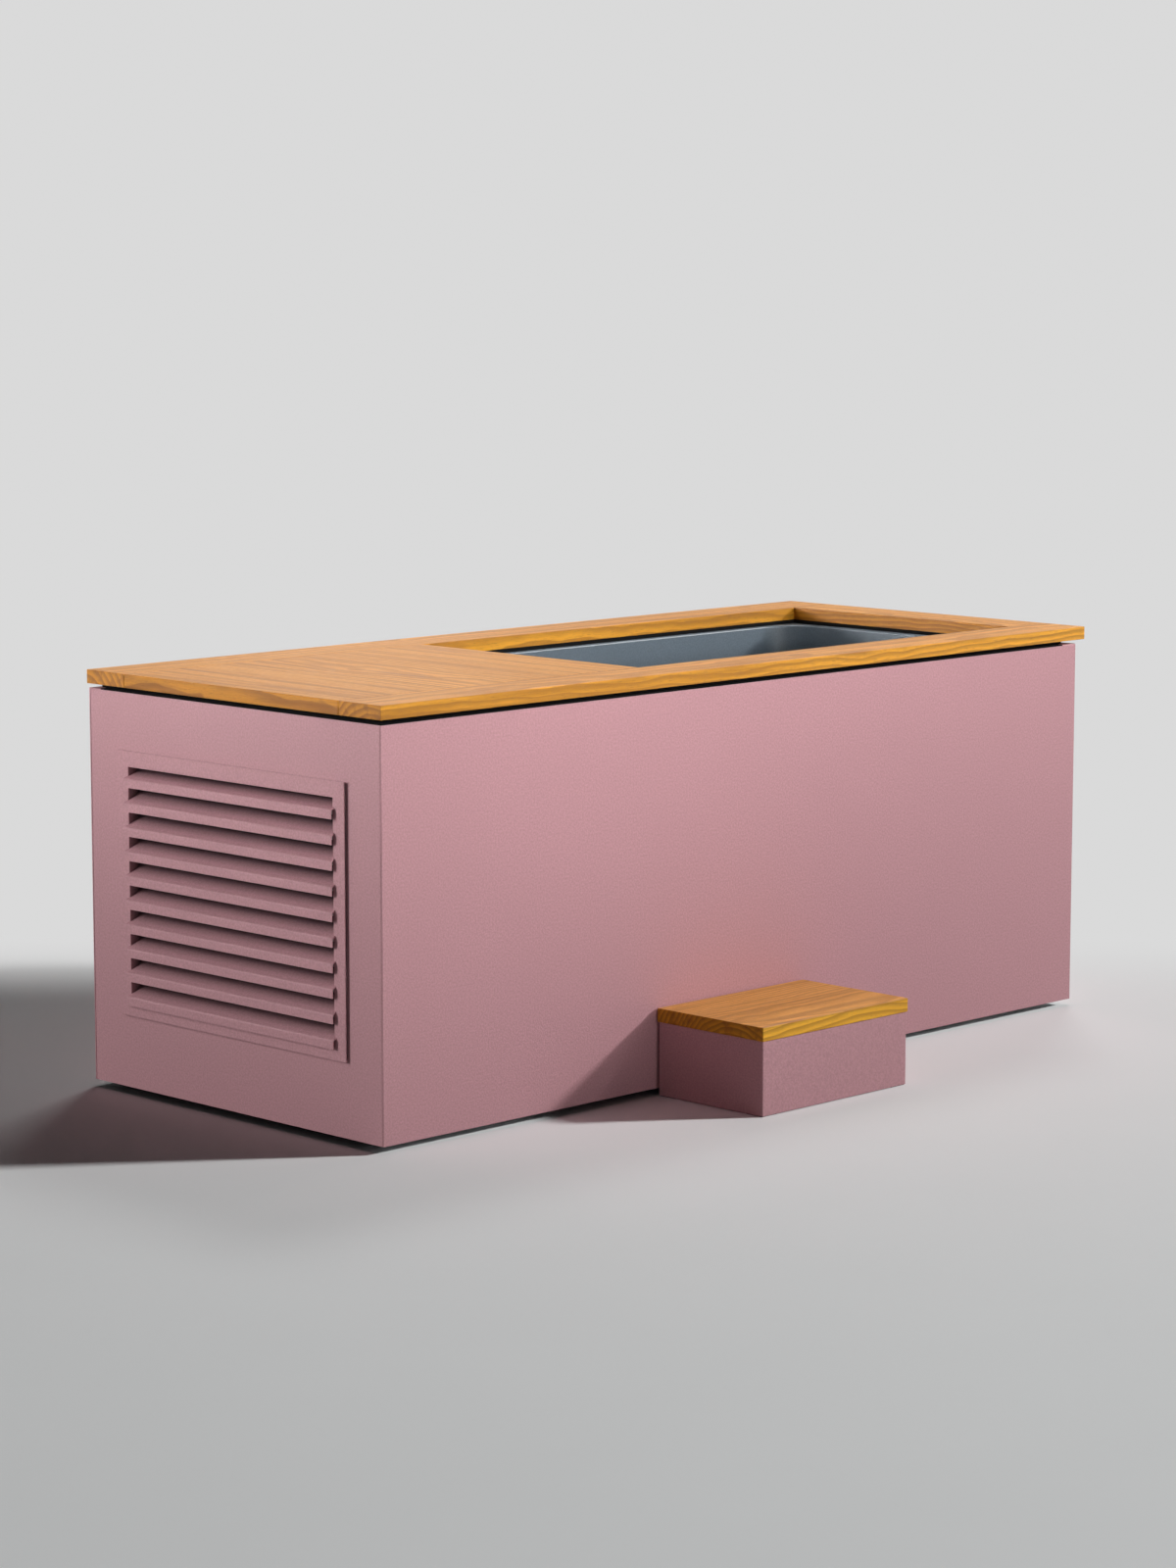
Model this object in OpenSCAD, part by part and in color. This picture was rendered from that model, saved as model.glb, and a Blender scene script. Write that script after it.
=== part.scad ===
// Cold plunge tub with a built-in chiller bay, a wooden top and a separate step.
// Millimetres. The origin is on the floor under the middle of the shell.
// +X points to the foot end, -Y to the bather's step, +Z up.

/* [Shell] */
// Length of the steel shell
shell_l = 2000; // [1900:10:2300]
// Depth of the steel shell from front to back
shell_w = 840; // [800:10:940]
// Height of the steel shell
shell_h = 772; // [740:4:860]
// Sheet thickness of the outer panels
panel_t = 3; // [2:0.5:4]
// Width of the folded edges of the panels
panel_fold = 22; // [16:1:28]
// Visible joint between two panels at a corner
corner_gap = 0.6; // [0.4:0.1:1.2]

/* [Base] */
// Height of the skids under the shell
skid_h = 14; // [10:1:30]
// Width of one skid
skid_w = 60; // [40:5:90]
// Distance of the skids from the shell's outer faces
skid_inset = 45; // [30:5:80]
// Sheet thickness of the floor tray
tray_t = 3; // [2:0.5:4]
// Height of the tray's turned-up edge
tray_rim = 25; // [15:1:26]

/* [Frame] */
// Side of the square frame tube
tube = 40; // [30:5:45]
// Wall of the square frame tube
tube_wall = 2.5; // [2:0.5:4]
// Distance of the cross beam from the edge of the deck
beam_setback = 24; // [20:1:34]

/* [Wooden top] */
// Thickness of the boards
wood_t = 27; // [20:1:36]
// Width of the long rails
rail_w = 114; // [100:1:126]
// Width of the rail at the foot end
end_rail_w = 116; // [104:1:126]
// Overhang of the wood at the front, the back and the vent end
overhang = 3; // [1:0.5:8]
// Overhang of the wood at the foot end
foot_overhang = 27; // [10:1:34]
// Length of the lift-off deck over the chiller bay
deck_l = 777; // [760:1:820]
// Joint between the deck and the rails
deck_gap = 0.8; // [0.4:0.1:2]
// Rounding of the long wooden edges
edge_r = 1.5; // [1:0.5:4]
// Height of the black spacer under the wood
spacer_h = 8; // [5:1:14]
// Set-back of the spacer from the shell's faces
spacer_inset = 18; // [10:1:24]
// Set-back of the spacer at the foot end
spacer_foot_inset = 27; // [14:1:34]
// Depth of the battens under the deck
batten_h = 25; // [18:1:32]

/* [Basin] */
// Wall of the moulded basin
basin_t = 5; // [4:0.5:6]
// Radius of the rounded lip
lip_r = 8; // [6:0.5:10]
// How far the basin's walls stand inside the wooden opening
lip_show = 6; // [3:0.5:10]
// Radius of the upright corners
basin_corner_r = 110; // [80:5:150]
// Radius between the walls and the floor
basin_floor_r = 45; // [30:5:60]
// Height of the basin's underside above the tray
basin_lift = 88; // [84:2:110]

/* [Vent grille] */
// Width of the grille plate
grille_w = 652; // [560:2:680]
// Height of the grille plate
grille_h = 517; // [480:1:540]
// Height of the grille plate's lower edge above the shell's lower edge
grille_low = 143; // [120:1:150]
// Border of the grille plate round its opening
grille_border = 31; // [24:1:40]
// Sheet thickness of the grille plate
grille_t = 2; // [1.5:0.5:3]
// Thickness of the black gasket behind the plate
gasket_t = 5; // [3:0.5:8]
// Number of louvre blades
blades = 10; // [7:1:11]
// Height of a blade's upright lip
blade_lip = 17; // [12:1:22]
// How far the lips stand in front of the plate
blade_proud = 8; // [3:1:12]
// Depth of a blade's slope
blade_depth = 50; // [40:1:52]
// Slope of a blade
blade_angle = 30; // [20:1:35]
// Sheet thickness of a blade
blade_t = 1.5; // [1:0.5:2.5]

/* [Step] */
// Length of the step's tread
step_l = 420; // [340:10:560]
// Depth of the step's tread
step_w = 276; // [240:2:340]
// Height of the step
step_h = 173; // [150:1:210]
// Overhang of the tread round the step's box
step_overhang = 2; // [1:0.5:6]
// Sheet thickness of the step's box
step_t = 2; // [1.5:0.5:3]
// Space between the tread and the wooden rail behind it
step_gap = 1; // [1:1:20]
// Middle of the step, measured from the middle of the shell
step_x = -80; // [-200:10:300]

/* [Service recess] */
// Width of the recess in the back panel
pocket_w = 200; // [190:5:220]
// Height of the recess
pocket_h = 188; // [184:2:200]
// Depth of the recess
pocket_d = 95; // [92:1:105]
// Height of the recess above the shell's lower edge
pocket_low = 30; // [29:1:34]
// Radius of the drain's hose spigot
spigot_r = 13.2; // [10:0.1:15]
// Length of the drain's hose spigot
spigot_l = 25; // [18:1:26]
// Radius of the cable gland's bore
gland_bore_r = 6; // [4:0.5:8]

/* [Cooling] */
// Outer radius of the fan rotor
fan_r = 190; // [160:5:200]
// Number of fan blades
fan_blades = 5; // [3:1:7]
// Running space between the rotor and its collar
fan_gap = 8; // [4:1:12]
// Depth of the condenser coil
coil_t = 40; // [30:1:44]
// Radius of the compressor's can
compressor_r = 78; // [65:1:80]
// Height of the compressor's can
compressor_h = 245; // [200:5:260]
// Radius of the heat exchanger
exchanger_r = 85; // [70:1:86]
// Height of the heat exchanger
exchanger_h = 380; // [300:5:420]
// Outer radius of the water pipes
pipe_r = 20; // [16:1:20]
// Wall of the water pipes
pipe_wall = 2.5; // [2:0.5:3.5]
// Radius of the filter's canister
filter_r = 80; // [65:1:82]
// Height of the filter's canister
filter_h = 380; // [350:5:400]

/* [Hidden] */
$fn = 48;

// Clearance between pieces that are fitted but not fixed to each other
fit = 0.3;
// Running clearance of a shaft in its hole
run = 0.05;
// Overlap of cutting shapes
cut = 1;

half_l = shell_l / 2;
half_w = shell_w / 2;
inner_x = half_l - panel_t;
inner_y = half_w - panel_t;

z_shell = skid_h;
z_floor = z_shell + tray_t;
z_shell_top = z_shell + shell_h;
z_wood = z_shell_top + spacer_h;
z_rim = z_shell_top - panel_t;
z_beam = z_rim - tube;

frame_x = inner_x - tray_t - 2 * fit;
frame_y = inner_y - corner_gap - panel_t - fit;

// Opening in the wooden top
open_x0 = deck_l - half_l - overhang;
open_x1 = half_l + foot_overhang - end_rail_w;
open_y = half_w + overhang - rail_w;

// Cross beam and bulkhead between the bay and the basin
cross_x1 = open_x0 - beam_setback;
cross_x0 = cross_x1 - tube;
bulkhead_t = 3;
bay_x1 = cross_x0 - bulkhead_t;

// Inner faces of the basin
basin_x0 = open_x0 + lip_show;
basin_x1 = open_x1 - lip_show;
basin_y = open_y - lip_show;
basin_low = z_floor + basin_lift;
basin_floor = basin_low + basin_t;
flange_gap = 1;
flange_setback = 4;
foam_gap = 0.5;
foam_end_gap = 1;

// Air slots in the tray
slot_w = 20;
slot_l = 120;
slot_y = 60;
slot_pitch = 40;
slot_setback = 336;
slot_x = bay_x1 - slot_setback;

// Spacer strips and battens
spacer_w = 52;
batten_w = 44;
batten_y = 198;
batten_clear = 8;

// Grille
grille_z0 = z_shell + grille_low;
grille_z1 = grille_z0 + grille_h;
grille_y = grille_w / 2;
vent_y = grille_y - grille_border;
vent_z0 = grille_z0 + grille_border;
vent_z1 = grille_z1 - grille_border;
plate_x = -half_l - gasket_t - grille_t;
lip_drop = 9;
lip_side = 5;
lip_head_gap = 39;
blade_pitch = (vent_z1 - lip_head_gap - vent_z0 + lip_drop) / (blades - 1);
vent_clear = 5;
gasket_inset = 4;
bracket_w = 30;
bracket_z = 60;
bracket_leg = 17;
bracket_reach = 26;
bracket_t = 2;

// Cooling set, placed from the vent end inwards
coil_gap = 75;
coil_x0 = -half_l + coil_gap;
coil_x1 = coil_x0 + coil_t;
coil_inset = 170;
coil_y = half_w - coil_inset;
coil_lift = 3;
coil_h = 480;
coil_z0 = grille_z0 + coil_lift;
coil_z1 = coil_z0 + coil_h;
coil_rows = 12;
coil_tube_r = 5;
coil_leg_t = 4;
coil_leg_in = 20;
coil_leg_out = 32;
fan_z = (coil_z0 + coil_z1) / 2;
collar_l = 58;
shroud_t = 2;
collar_x1 = coil_x1 + shroud_t + collar_l;
spider_t = 5;
spider_w = 16;
motor_r = 50;
motor_x0 = collar_x1 + spider_t;
motor_l = 70;
shaft_r = 5;
shaft_l = 52;
hub_r = 40;
hub_l = 30;
hub_gap = 15;
hub_x0 = coil_x1 + hub_gap;
fan_chord = 76;
fan_pitch = 28;
fan_blade_t = 3;
can_setback = 282;
can_inset = 190;
can_x = -half_l + can_setback;
can_y = -half_w + can_inset;
can_plate_rim = 10;
can_plate_cut = 8;
can_plate_l = 2 * (compressor_r + can_plate_rim);
can_plate_w = 2 * (compressor_r - can_plate_cut);
can_plate_t = 4;
can_dome = 30;
foot_h = 18;
foot_r = 14;
foot_bore_r = 5;
foot_inset = 16;
can_top = z_floor + foot_h + compressor_h;
exchanger_inset = 240;
exchanger_y = half_w - exchanger_inset;
exchanger_step = 12;
exchanger_cap = 10;
exchanger_top = z_floor + exchanger_h + exchanger_cap;

// Copper lines: hot gas, liquid and suction
line_wall = 1;
line_bend = 12;
gas_line_r = 6;
gas_line_rise = 24;
gas_line_off = 18;
gas_line_x = can_x + gas_line_off;
gas_line_y = can_y + gas_line_off;
liquid_line_r = 5;
liquid_line_rise = 53;
liquid_line_z = z_floor + liquid_line_rise;
vapour_line_r = 8;
vapour_line_rise = 183;
vapour_line_z = z_floor + vapour_line_rise;

// Water circuit
bend_r = 30;
pump_setback = 127;
pump_x = bay_x1 - pump_setback;
filter_inset = 140;
filter_y = -half_w + filter_inset;
pump_spread = 180;
pump_y = filter_y + pump_spread;
pump_lift = 70;
pump_z = z_floor + pump_lift;
volute_r = 60;
volute_l = 40;
outlet_off = 36;
outlet_y = pump_y - outlet_off;
outlet_rise = 66;
outlet_z = pump_z + outlet_rise;
outlet_wall = 6.5;
outlet_bore_r = pipe_r - outlet_wall;
mount_t = 24;
mount_y = 52;
mount_drop = 12;
mount_z = pump_z - mount_drop;
mount_gap = 40;
mount_x0 = pump_x - volute_l / 2 - mount_gap;
mount_pitch = 70;
pump_motor_r = 50;
pump_motor_l = 130;
suction_rise = 100;
suction_z = basin_floor + suction_rise;
return_drop = 186;
return_z = z_shell_top - return_drop;
suction_turn = 47;
suction_turn_x = bay_x1 - suction_turn;
filter_x = pump_x;
filter_wall = 4;
filter_base = 6;
filter_top = z_floor + filter_h;
port_wall = 4;
port_l = 8;
lid_skirt = 24;
lid_t = 12;
lid_rim = 10;
grip_w = 18;
grip_h = 18;
grip_inset = 8;
cartridge_clear = 30;
cartridge_r = filter_r - cartridge_clear;
cartridge_cap = 10;
cartridge_top = filter_top - 2 * cartridge_cap;
pleat_inset = 6;
core_r = 18;
filter_port_rise = 313;
filter_port_z = z_floor + filter_port_rise;
filter_out_rise = 73;
filter_out_z = z_floor + filter_out_rise;
transfer_gap = 40;
transfer_x = can_x + compressor_r + transfer_gap;
lamp_r = 32;
lamp_gap = 67;
lamp_l = 200;
lamp_x1 = bay_x1 - lamp_gap;
lamp_x0 = lamp_x1 - lamp_l;
lamp_rim = 5;
lamp_rim_l = 12;
lamp_socket = 20;
drain_inset = 130;
drain_x = basin_x0 + drain_inset;
drain_drop = 30;
drain_z = basin_low - drain_drop;
drain_line_gap = 67;
drain_line_x = bay_x1 - drain_line_gap;
wall_tail_r = 24;
drain_tail_r = 24;
drain_clear = 18;
channel_clear = 4;
tail_l = 34;
nut_r = 34;
nut_clear = 2;
nut_l = 10;
face_r = 40;
face_t = 5;
face_slot_w = 3;
face_slot_l = 28;
ball_r = 17;
ball_set = 4;
ball_x = basin_x0 - ball_set;
jet_bore_r = 8;
jet_open_r = 15;
jet_tail_r = 13;
strainer_r = 42;
strainer_t = 4;
strainer_hole_r = 3;
strainer_ring_r = 11;

// Service recess
pocket_gap = 27;
pocket_x1 = bay_x1 - pocket_gap;
pocket_x0 = pocket_x1 - pocket_w;
pocket_y = half_w - pocket_d;
pocket_rim = 2;
pocket_z0 = z_shell + pocket_low - pocket_rim;
pocket_z1 = pocket_z0 + pocket_h;
pocket_t = 2;
valve_r = 18;
valve_l = 58;
valve_step = 2;
valve_tail_r = valve_r - valve_step;
valve_tail_l = 6;
valve_bore_r = 9;
ball_seat = 14;
stem_inset = 34;
stem_y = pocket_y + stem_inset;
stem_r = 6;
lever_gap = 12;
lever_z = drain_z + valve_r + lever_gap;
lever_l = 52;
lever_w = 14;
lever_t = 5;
lever_boss_r = 12;
gland_rise = 138;
gland_z = pocket_z0 + gland_rise;
gland_tail_r = 10;
gland_tail_l = 8;
gland_hex_r = 15;
gland_hex_l = 10;
gland_cap_r = 12;
gland_cap_l = 16;
switch_inset = 50;
switch_x = pocket_x0 + switch_inset;
switch_rise = 72;
switch_z = pocket_z0 + switch_rise;
bezel_x = 17;
bezel_z = 13;
bezel_t = 3;
switch_half_x = 13;
switch_half_z = 9;
switch_d = 22;
rocker_r = 8;
rocker_y = pocket_y + bezel_t;
rocker_half = 11;
rocker_tilt = 10;
rocker_rise = 4;

// Control box and leads
box_d = 92;
box_h = 220;
box_inset = 60;
box_drop = 96;
box_y1 = half_w - box_inset;
box_y0 = 60;
box_z1 = z_shell_top - box_drop;
box_z0 = box_z1 - box_h;
box_lid_t = 8;
box_lid_rim = 5;
box_stud_r = 4;
box_stud_inset = 14;
lead_r = 4;
lead_bend = 10;
lead_gap = 25;
lead_y = pocket_y - pocket_t - gland_tail_l - lead_gap;
supply_rise = 90;
fan_lead_rise = 50;
fan_lead_y0 = 20;
fan_lead_y1 = 100;
fan_lead_gap = 50;
fan_lead_x = motor_x0 + motor_l + fan_lead_gap;

// Step
step_x0 = step_x - step_l / 2;
step_x1 = step_x + step_l / 2;
step_y1 = -half_w - overhang - step_gap;
step_y0 = step_y1 - step_w;
foot_pad = 1.5;
step_foot_w = 40;
step_foot_h = 24;
step_foot_inset = step_overhang + step_t + fit;
tread_z = step_h - wood_t;

PINK = "#c99aa1";
WOOD = "#d99f5c";
BLACK = "#151517";
STEEL = "#9aa0a6";
BASIN = "#66727c";

// Block between two corners
module block(x0, x1, y0, y1, z0, z1)
    translate([x0, y0, z0]) cube([x1 - x0, y1 - y0, z1 - z0]);

// Round bars along the three axes
module rod_x(r, x0, x1, y, z)
    translate([x0, y, z]) rotate([0, 90, 0]) cylinder(r = r, h = x1 - x0);

module rod_y(r, x, y0, y1, z)
    translate([x, y1, z]) rotate([90, 0, 0]) cylinder(r = r, h = y1 - y0);

module rod_z(r, x, y, z0, z1)
    translate([x, y, z0]) cylinder(r = r, h = z1 - z0);

// Rectangle with true round corners, from its lower left corner
module round_rect(w, h, r) {
    translate([r, 0]) square([w - 2 * r, h]);
    translate([0, r]) square([w, h - 2 * r]);
    for (x = [r, w - r], y = [r, h - r])
        translate([x, y]) circle(r = r);
}

// Board along X with eased long edges
module board_x(x0, x1, y0, y1, z0, z1)
    translate([x0, y0, z0]) rotate([90, 0, 90])
        linear_extrude(x1 - x0) round_rect(y1 - y0, z1 - z0, edge_r);

// Board along Y with eased long edges
module board_y(x0, x1, y0, y1, z0, z1)
    translate([x0, y1, z0]) rotate([90, 0, 0])
        linear_extrude(y1 - y0) round_rect(x1 - x0, z1 - z0, edge_r);

// Square tubes along the three axes, given by their outer corners
module tube_x(x0, x1, y0, z0)
    difference() {
        block(x0, x1, y0, y0 + tube, z0, z0 + tube);
        block(x0 - cut, x1 + cut, y0 + tube_wall, y0 + tube - tube_wall,
            z0 + tube_wall, z0 + tube - tube_wall);
    }

module tube_y(x0, y0, y1, z0)
    difference() {
        block(x0, x0 + tube, y0, y1, z0, z0 + tube);
        block(x0 + tube_wall, x0 + tube - tube_wall, y0 - cut, y1 + cut,
            z0 + tube_wall, z0 + tube - tube_wall);
    }

module tube_z(x0, y0, z0, z1)
    difference() {
        block(x0, x0 + tube, y0, y0 + tube, z0, z1);
        block(x0 + tube_wall, x0 + tube - tube_wall, y0 + tube_wall,
            y0 + tube - tube_wall, z0 - cut, z1 + cut);
    }

// Unit vector from one point to the next
function unit(a, b) = (b - a) / norm(b - a);

// Places its children with their X, Y and Z axes along the given ones
module along(x, y, z, p)
    multmatrix([[x[0], y[0], z[0], p[0]], [x[1], y[1], z[1], p[1]],
        [x[2], y[2], z[2], p[2]], [0, 0, 0, 1]]) children();

// Any direction square to a principal direction
function square_to(d) = abs(d[2]) > 0.5 ? [1, 0, 0] : [0, 0, 1];

// Solid bar through points that turn at right angles
module run_solid(points, r, bend, extra) {
    last = len(points) - 1;
    for (i = [0 : last - 1]) {
        d = unit(points[i], points[i + 1]);
        s = square_to(d);
        a = points[i] + d * (i > 0 ? bend : -extra);
        b = points[i + 1] - d * (i < last - 1 ? bend : -extra);
        along(s, cross(d, s), d, a) cylinder(r = r, h = norm(b - a));
    }
    if (last > 1)
        for (i = [1 : last - 1]) {
            a = unit(points[i - 1], points[i]);
            b = unit(points[i], points[i + 1]);
            along(-b, a, cross(-b, a), points[i] + (b - a) * bend)
                rotate_extrude(angle = 90) translate([bend, 0]) circle(r = r);
        }
}

// Pipe through points that turn at right angles
module pipe(points, r, wall, bend)
    difference() {
        run_solid(points, r, bend, 0);
        run_solid(points, r - wall, bend, cut);
    }

module base_skids() color(BLACK)
    for (y = [-half_w + skid_inset, -skid_w / 2, half_w - skid_inset - skid_w])
        block(-half_l + skid_inset, half_l - skid_inset, y, y + skid_w, 0, skid_h);

// Folded pan that closes the shell below, with air slots under the bay
module floor_tray() color(STEEL)
    difference() {
        block(-inner_x + fit, inner_x - fit, -inner_y + fit, inner_y - fit,
            z_shell, z_shell + tray_rim);
        block(-inner_x + fit + tray_t, inner_x - fit - tray_t,
            -inner_y + fit + tray_t, inner_y - fit - tray_t,
            z_floor, z_shell + tray_rim + cut);
        for (x = [slot_x, slot_x + slot_pitch], y = [-slot_y - slot_l, slot_y])
            block(x, x + slot_w, y, y + slot_l, z_shell - cut, z_floor + cut);
    }

module posts() color(STEEL)
    for (x = [-frame_x, cross_x0, frame_x - tube], y = [-frame_y, frame_y - tube])
        tube_z(x, y, z_floor, z_beam - fit);

module long_beams() color(STEEL)
    for (y = [-frame_y, frame_y - tube])
        tube_x(-frame_x, frame_x, y, z_beam);

module cross_beams() color(STEEL)
    for (x = [-frame_x, cross_x0, frame_x - tube])
        tube_y(x, -frame_y + tube + fit, frame_y - tube - fit, z_beam);

// Sheet wall between the bay and the basin, with holes for the three pipes
module bulkhead() color(STEEL)
    difference() {
        union() {
            block(bay_x1, cross_x0, -frame_y, frame_y, z_floor, z_beam - fit);
            block(bay_x1, cross_x0, -frame_y + tube + fit, frame_y - tube - fit,
                z_floor, z_rim - fit);
        }
        pipe_holes(bay_x1 - cut, cross_x0 + cut);
    }

// Clearance holes of the pipes that cross from the bay to the basin
module pipe_holes(x0, x1) {
    rod_x(pipe_r + 1, x0, x1, pump_y, suction_z);
    rod_x(pipe_r + 1, x0, x1, 0, return_z);
    rod_x(pipe_r + 1, x0, x1, 0, drain_z);
}

// Long side panel: a sheet with its upper edge folded inwards, on the -Y side
module side_sheet() {
    block(-half_l, half_l, -half_w, -inner_y, z_shell, z_shell_top);
    block(-half_l, half_l, -half_w, -half_w + panel_fold, z_rim, z_shell_top);
}

module front_panel() color(PINK) side_sheet();

module back_panel() color(PINK)
    difference() {
        mirror([0, 1, 0]) side_sheet();
        block(pocket_x0, pocket_x1, inner_y - cut, half_w + cut, pocket_z0, pocket_z1);
    }

// End panel with folded upper and side edges, on the -X side
module end_sheet() {
    edge_y = inner_y - corner_gap;
    fold_y = half_w - panel_fold - corner_gap;
    block(-half_l, -inner_x, -edge_y, edge_y, z_shell, z_rim - fit);
    block(-half_l, -inner_x, -fold_y, fold_y, z_rim - 2 * fit, z_shell_top);
    block(-half_l, -half_l + panel_fold, -fold_y, fold_y, z_rim, z_shell_top);
    for (y = [-edge_y, edge_y - panel_t])
        block(-half_l, -half_l + panel_fold, y, y + panel_t,
            z_shell + tray_rim + fit, z_beam + tube - fit);
}

module foot_end_panel() color(PINK) mirror([1, 0, 0]) end_sheet();

module vent_end_panel() color(PINK)
    difference() {
        end_sheet();
        block(-half_l - cut, -inner_x + cut, -vent_y - vent_clear, vent_y + vent_clear,
            vent_z0 - vent_clear, vent_z1 + vent_clear);
    }

module grille_gasket() color(BLACK)
    difference() {
        block(-half_l - gasket_t, -half_l, -grille_y + gasket_inset,
            grille_y - gasket_inset, grille_z0 + gasket_inset, grille_z1 - gasket_inset);
        block(-half_l - gasket_t - cut, -half_l + cut, -vent_y - vent_clear,
            vent_y + vent_clear, vent_z0 - vent_clear, vent_z1 + vent_clear);
    }

// Plate with a deep return round its opening, which carries the blades
module grille_frame() color(PINK)
    difference() {
        union() {
            block(plate_x, plate_x + grille_t, -grille_y, grille_y, grille_z0, grille_z1);
            block(plate_x, plate_x + blade_depth, -vent_y - grille_t, vent_y + grille_t,
                vent_z0 - grille_t, vent_z1 + grille_t);
        }
        block(plate_x - cut, plate_x + blade_depth + cut, -vent_y, vent_y,
            vent_z0, vent_z1);
    }

// Folded blade: an upright lip, wider than the opening, and a slope that rises inwards
module louvre_blade() {
    rise = tan(blade_angle);
    slope = blade_depth - blade_proud;
    thick = blade_t / cos(blade_angle);
    lip_x = -blade_proud;
    rotate([90, 0, 0]) linear_extrude(2 * (vent_y + lip_side)) polygon([
        [lip_x, 0], [lip_x, blade_lip], [slope, blade_lip + (slope - lip_x) * rise],
        [slope, blade_lip + (slope - lip_x) * rise - thick],
        [lip_x + blade_t, blade_lip + blade_t * rise - thick], [lip_x + blade_t, 0]]);
}

module louvre_blades() color(PINK)
    intersection() {
        for (i = [0 : blades - 1])
            translate([plate_x, vent_y + lip_side, vent_z0 - lip_drop + i * blade_pitch])
                louvre_blade();
        union() {
            block(plate_x - blade_proud - cut, plate_x - fit, -grille_y, grille_y,
                vent_z0 - lip_drop - cut, vent_z1);
            block(plate_x - cut, plate_x + blade_depth, -vent_y + fit, vent_y - fit,
                vent_z0 + fit, vent_z1 - fit);
        }
    }

// Angles that clamp the return of the grille to the inside of the panel
module grille_brackets() color(STEEL)
    for (side = [0, 1], z = [vent_z0 + bracket_z, vent_z1 - bracket_z - bracket_w])
        mirror([0, side, 0]) translate([-inner_x + fit, vent_y + grille_t + fit, z]) {
            cube([bracket_leg, bracket_t, bracket_w]);
            cube([bracket_t, bracket_reach, bracket_w]);
        }

// Spacer strips under the wood, round the bay and round the basin
module spacer_frame() color(BLACK) {
    x0 = -half_l + spacer_inset;
    x1 = half_l - spacer_foot_inset;
    y1 = half_w - spacer_inset;
    for (y = [-y1, open_y])
        block(x0, x1, y, y + y1 - open_y, z_shell_top, z_wood);
    for (x = [[x0, x0 + spacer_w], [cross_x0, open_x0], [open_x1, x1]])
        block(x[0], x[1], -open_y + fit, open_y - fit, z_shell_top, z_wood);
}

module long_rail(y0, y1)
    board_x(-half_l - overhang, half_l + foot_overhang, y0, y1, z_wood, z_wood + wood_t);

module front_rail() color(WOOD) long_rail(-half_w - overhang, -open_y);

module back_rail() color(WOOD) long_rail(open_y, half_w + overhang);

module end_rail() color(WOOD)
    board_y(open_x1, half_l + foot_overhang, -open_y + fit, open_y - fit,
        z_wood, z_wood + wood_t);

module deck_panel() color(WOOD)
    board_y(-half_l - overhang, open_x0, -open_y + deck_gap, open_y - deck_gap,
        z_wood, z_wood + wood_t);

module deck_battens() color(WOOD)
    for (y = [-batten_y, 0, batten_y])
        block(-half_l + spacer_inset + spacer_w + batten_clear, cross_x0 - batten_clear,
            y - batten_w / 2, y + batten_w / 2, z_wood - batten_h, z_wood);

// Section of the basin from the axis of a corner outwards: floor, wall and lip
module basin_section() {
    inner = basin_floor_r;
    wall = basin_corner_r;
    square_r = wall - inner;
    translate([0, basin_low]) square([square_r, basin_t]);
    intersection() {
        difference() {
            translate([square_r, basin_floor + inner]) circle(r = inner + basin_t);
            translate([square_r, basin_floor + inner]) circle(r = inner);
        }
        translate([square_r, basin_low]) square(inner + basin_t);
    }
    translate([wall, basin_floor + inner])
        square([basin_t, z_shell_top - lip_r - basin_floor - inner]);
    intersection() {
        translate([wall + lip_r, z_shell_top - lip_r]) circle(r = lip_r);
        translate([wall, z_shell_top - lip_r]) square(lip_r);
    }
}

// Sweeps a section round a rectangle whose corners are given
module sweep_rect(x0, x1, y0, y1) {
    for (c = [[x1, y1, 0], [x0, y1, 90], [x0, y0, 180], [x1, y0, 270]])
        translate([c[0], c[1], 0]) rotate([0, 0, c[2]])
            rotate_extrude(angle = 90) children();
    translate([x0, y1, 0]) rotate([90, 0, 90]) linear_extrude(x1 - x0) children();
    translate([x1, y0, 0]) rotate([90, 0, 270]) linear_extrude(x1 - x0) children();
    translate([x1, y1, 0]) rotate([90, 0, 0]) linear_extrude(y1 - y0) children();
    translate([x0, y0, 0]) rotate([90, 0, 180]) linear_extrude(y1 - y0) children();
}

module tub_basin() color(BASIN)
    difference() {
        union() {
            sweep_rect(basin_x0 + basin_corner_r, basin_x1 - basin_corner_r,
                -basin_y + basin_corner_r, basin_y - basin_corner_r)
                basin_section();
            block(basin_x0 + basin_corner_r, basin_x1 - basin_corner_r,
                -basin_y + basin_corner_r, basin_y - basin_corner_r,
                basin_low, basin_floor);
            basin_flange();
        }
        rod_z(drain_tail_r + fit, drain_x, 0, basin_low - cut, basin_floor + cut);
        rod_x(wall_tail_r + fit, basin_x0 - basin_t - cut, basin_x0 + cut, pump_y, suction_z);
        rod_x(wall_tail_r + fit, basin_x0 - basin_t - cut, basin_x0 + cut, 0, return_z);
    }

// Flat flange that hangs the basin on the frame
module basin_flange()
    difference() {
        block(cross_x0 + flange_setback, half_l - panel_fold - flange_gap,
            -half_w + panel_fold + flange_gap, half_w - panel_fold - flange_gap,
            z_rim, z_shell_top);
        translate([basin_x0 - lip_r, -basin_y - lip_r, z_rim - cut])
            linear_extrude(panel_t + 2 * cut)
                round_rect(basin_x1 - basin_x0 + 2 * lip_r, 2 * (basin_y + lip_r),
                    basin_corner_r + lip_r);
    }

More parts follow.
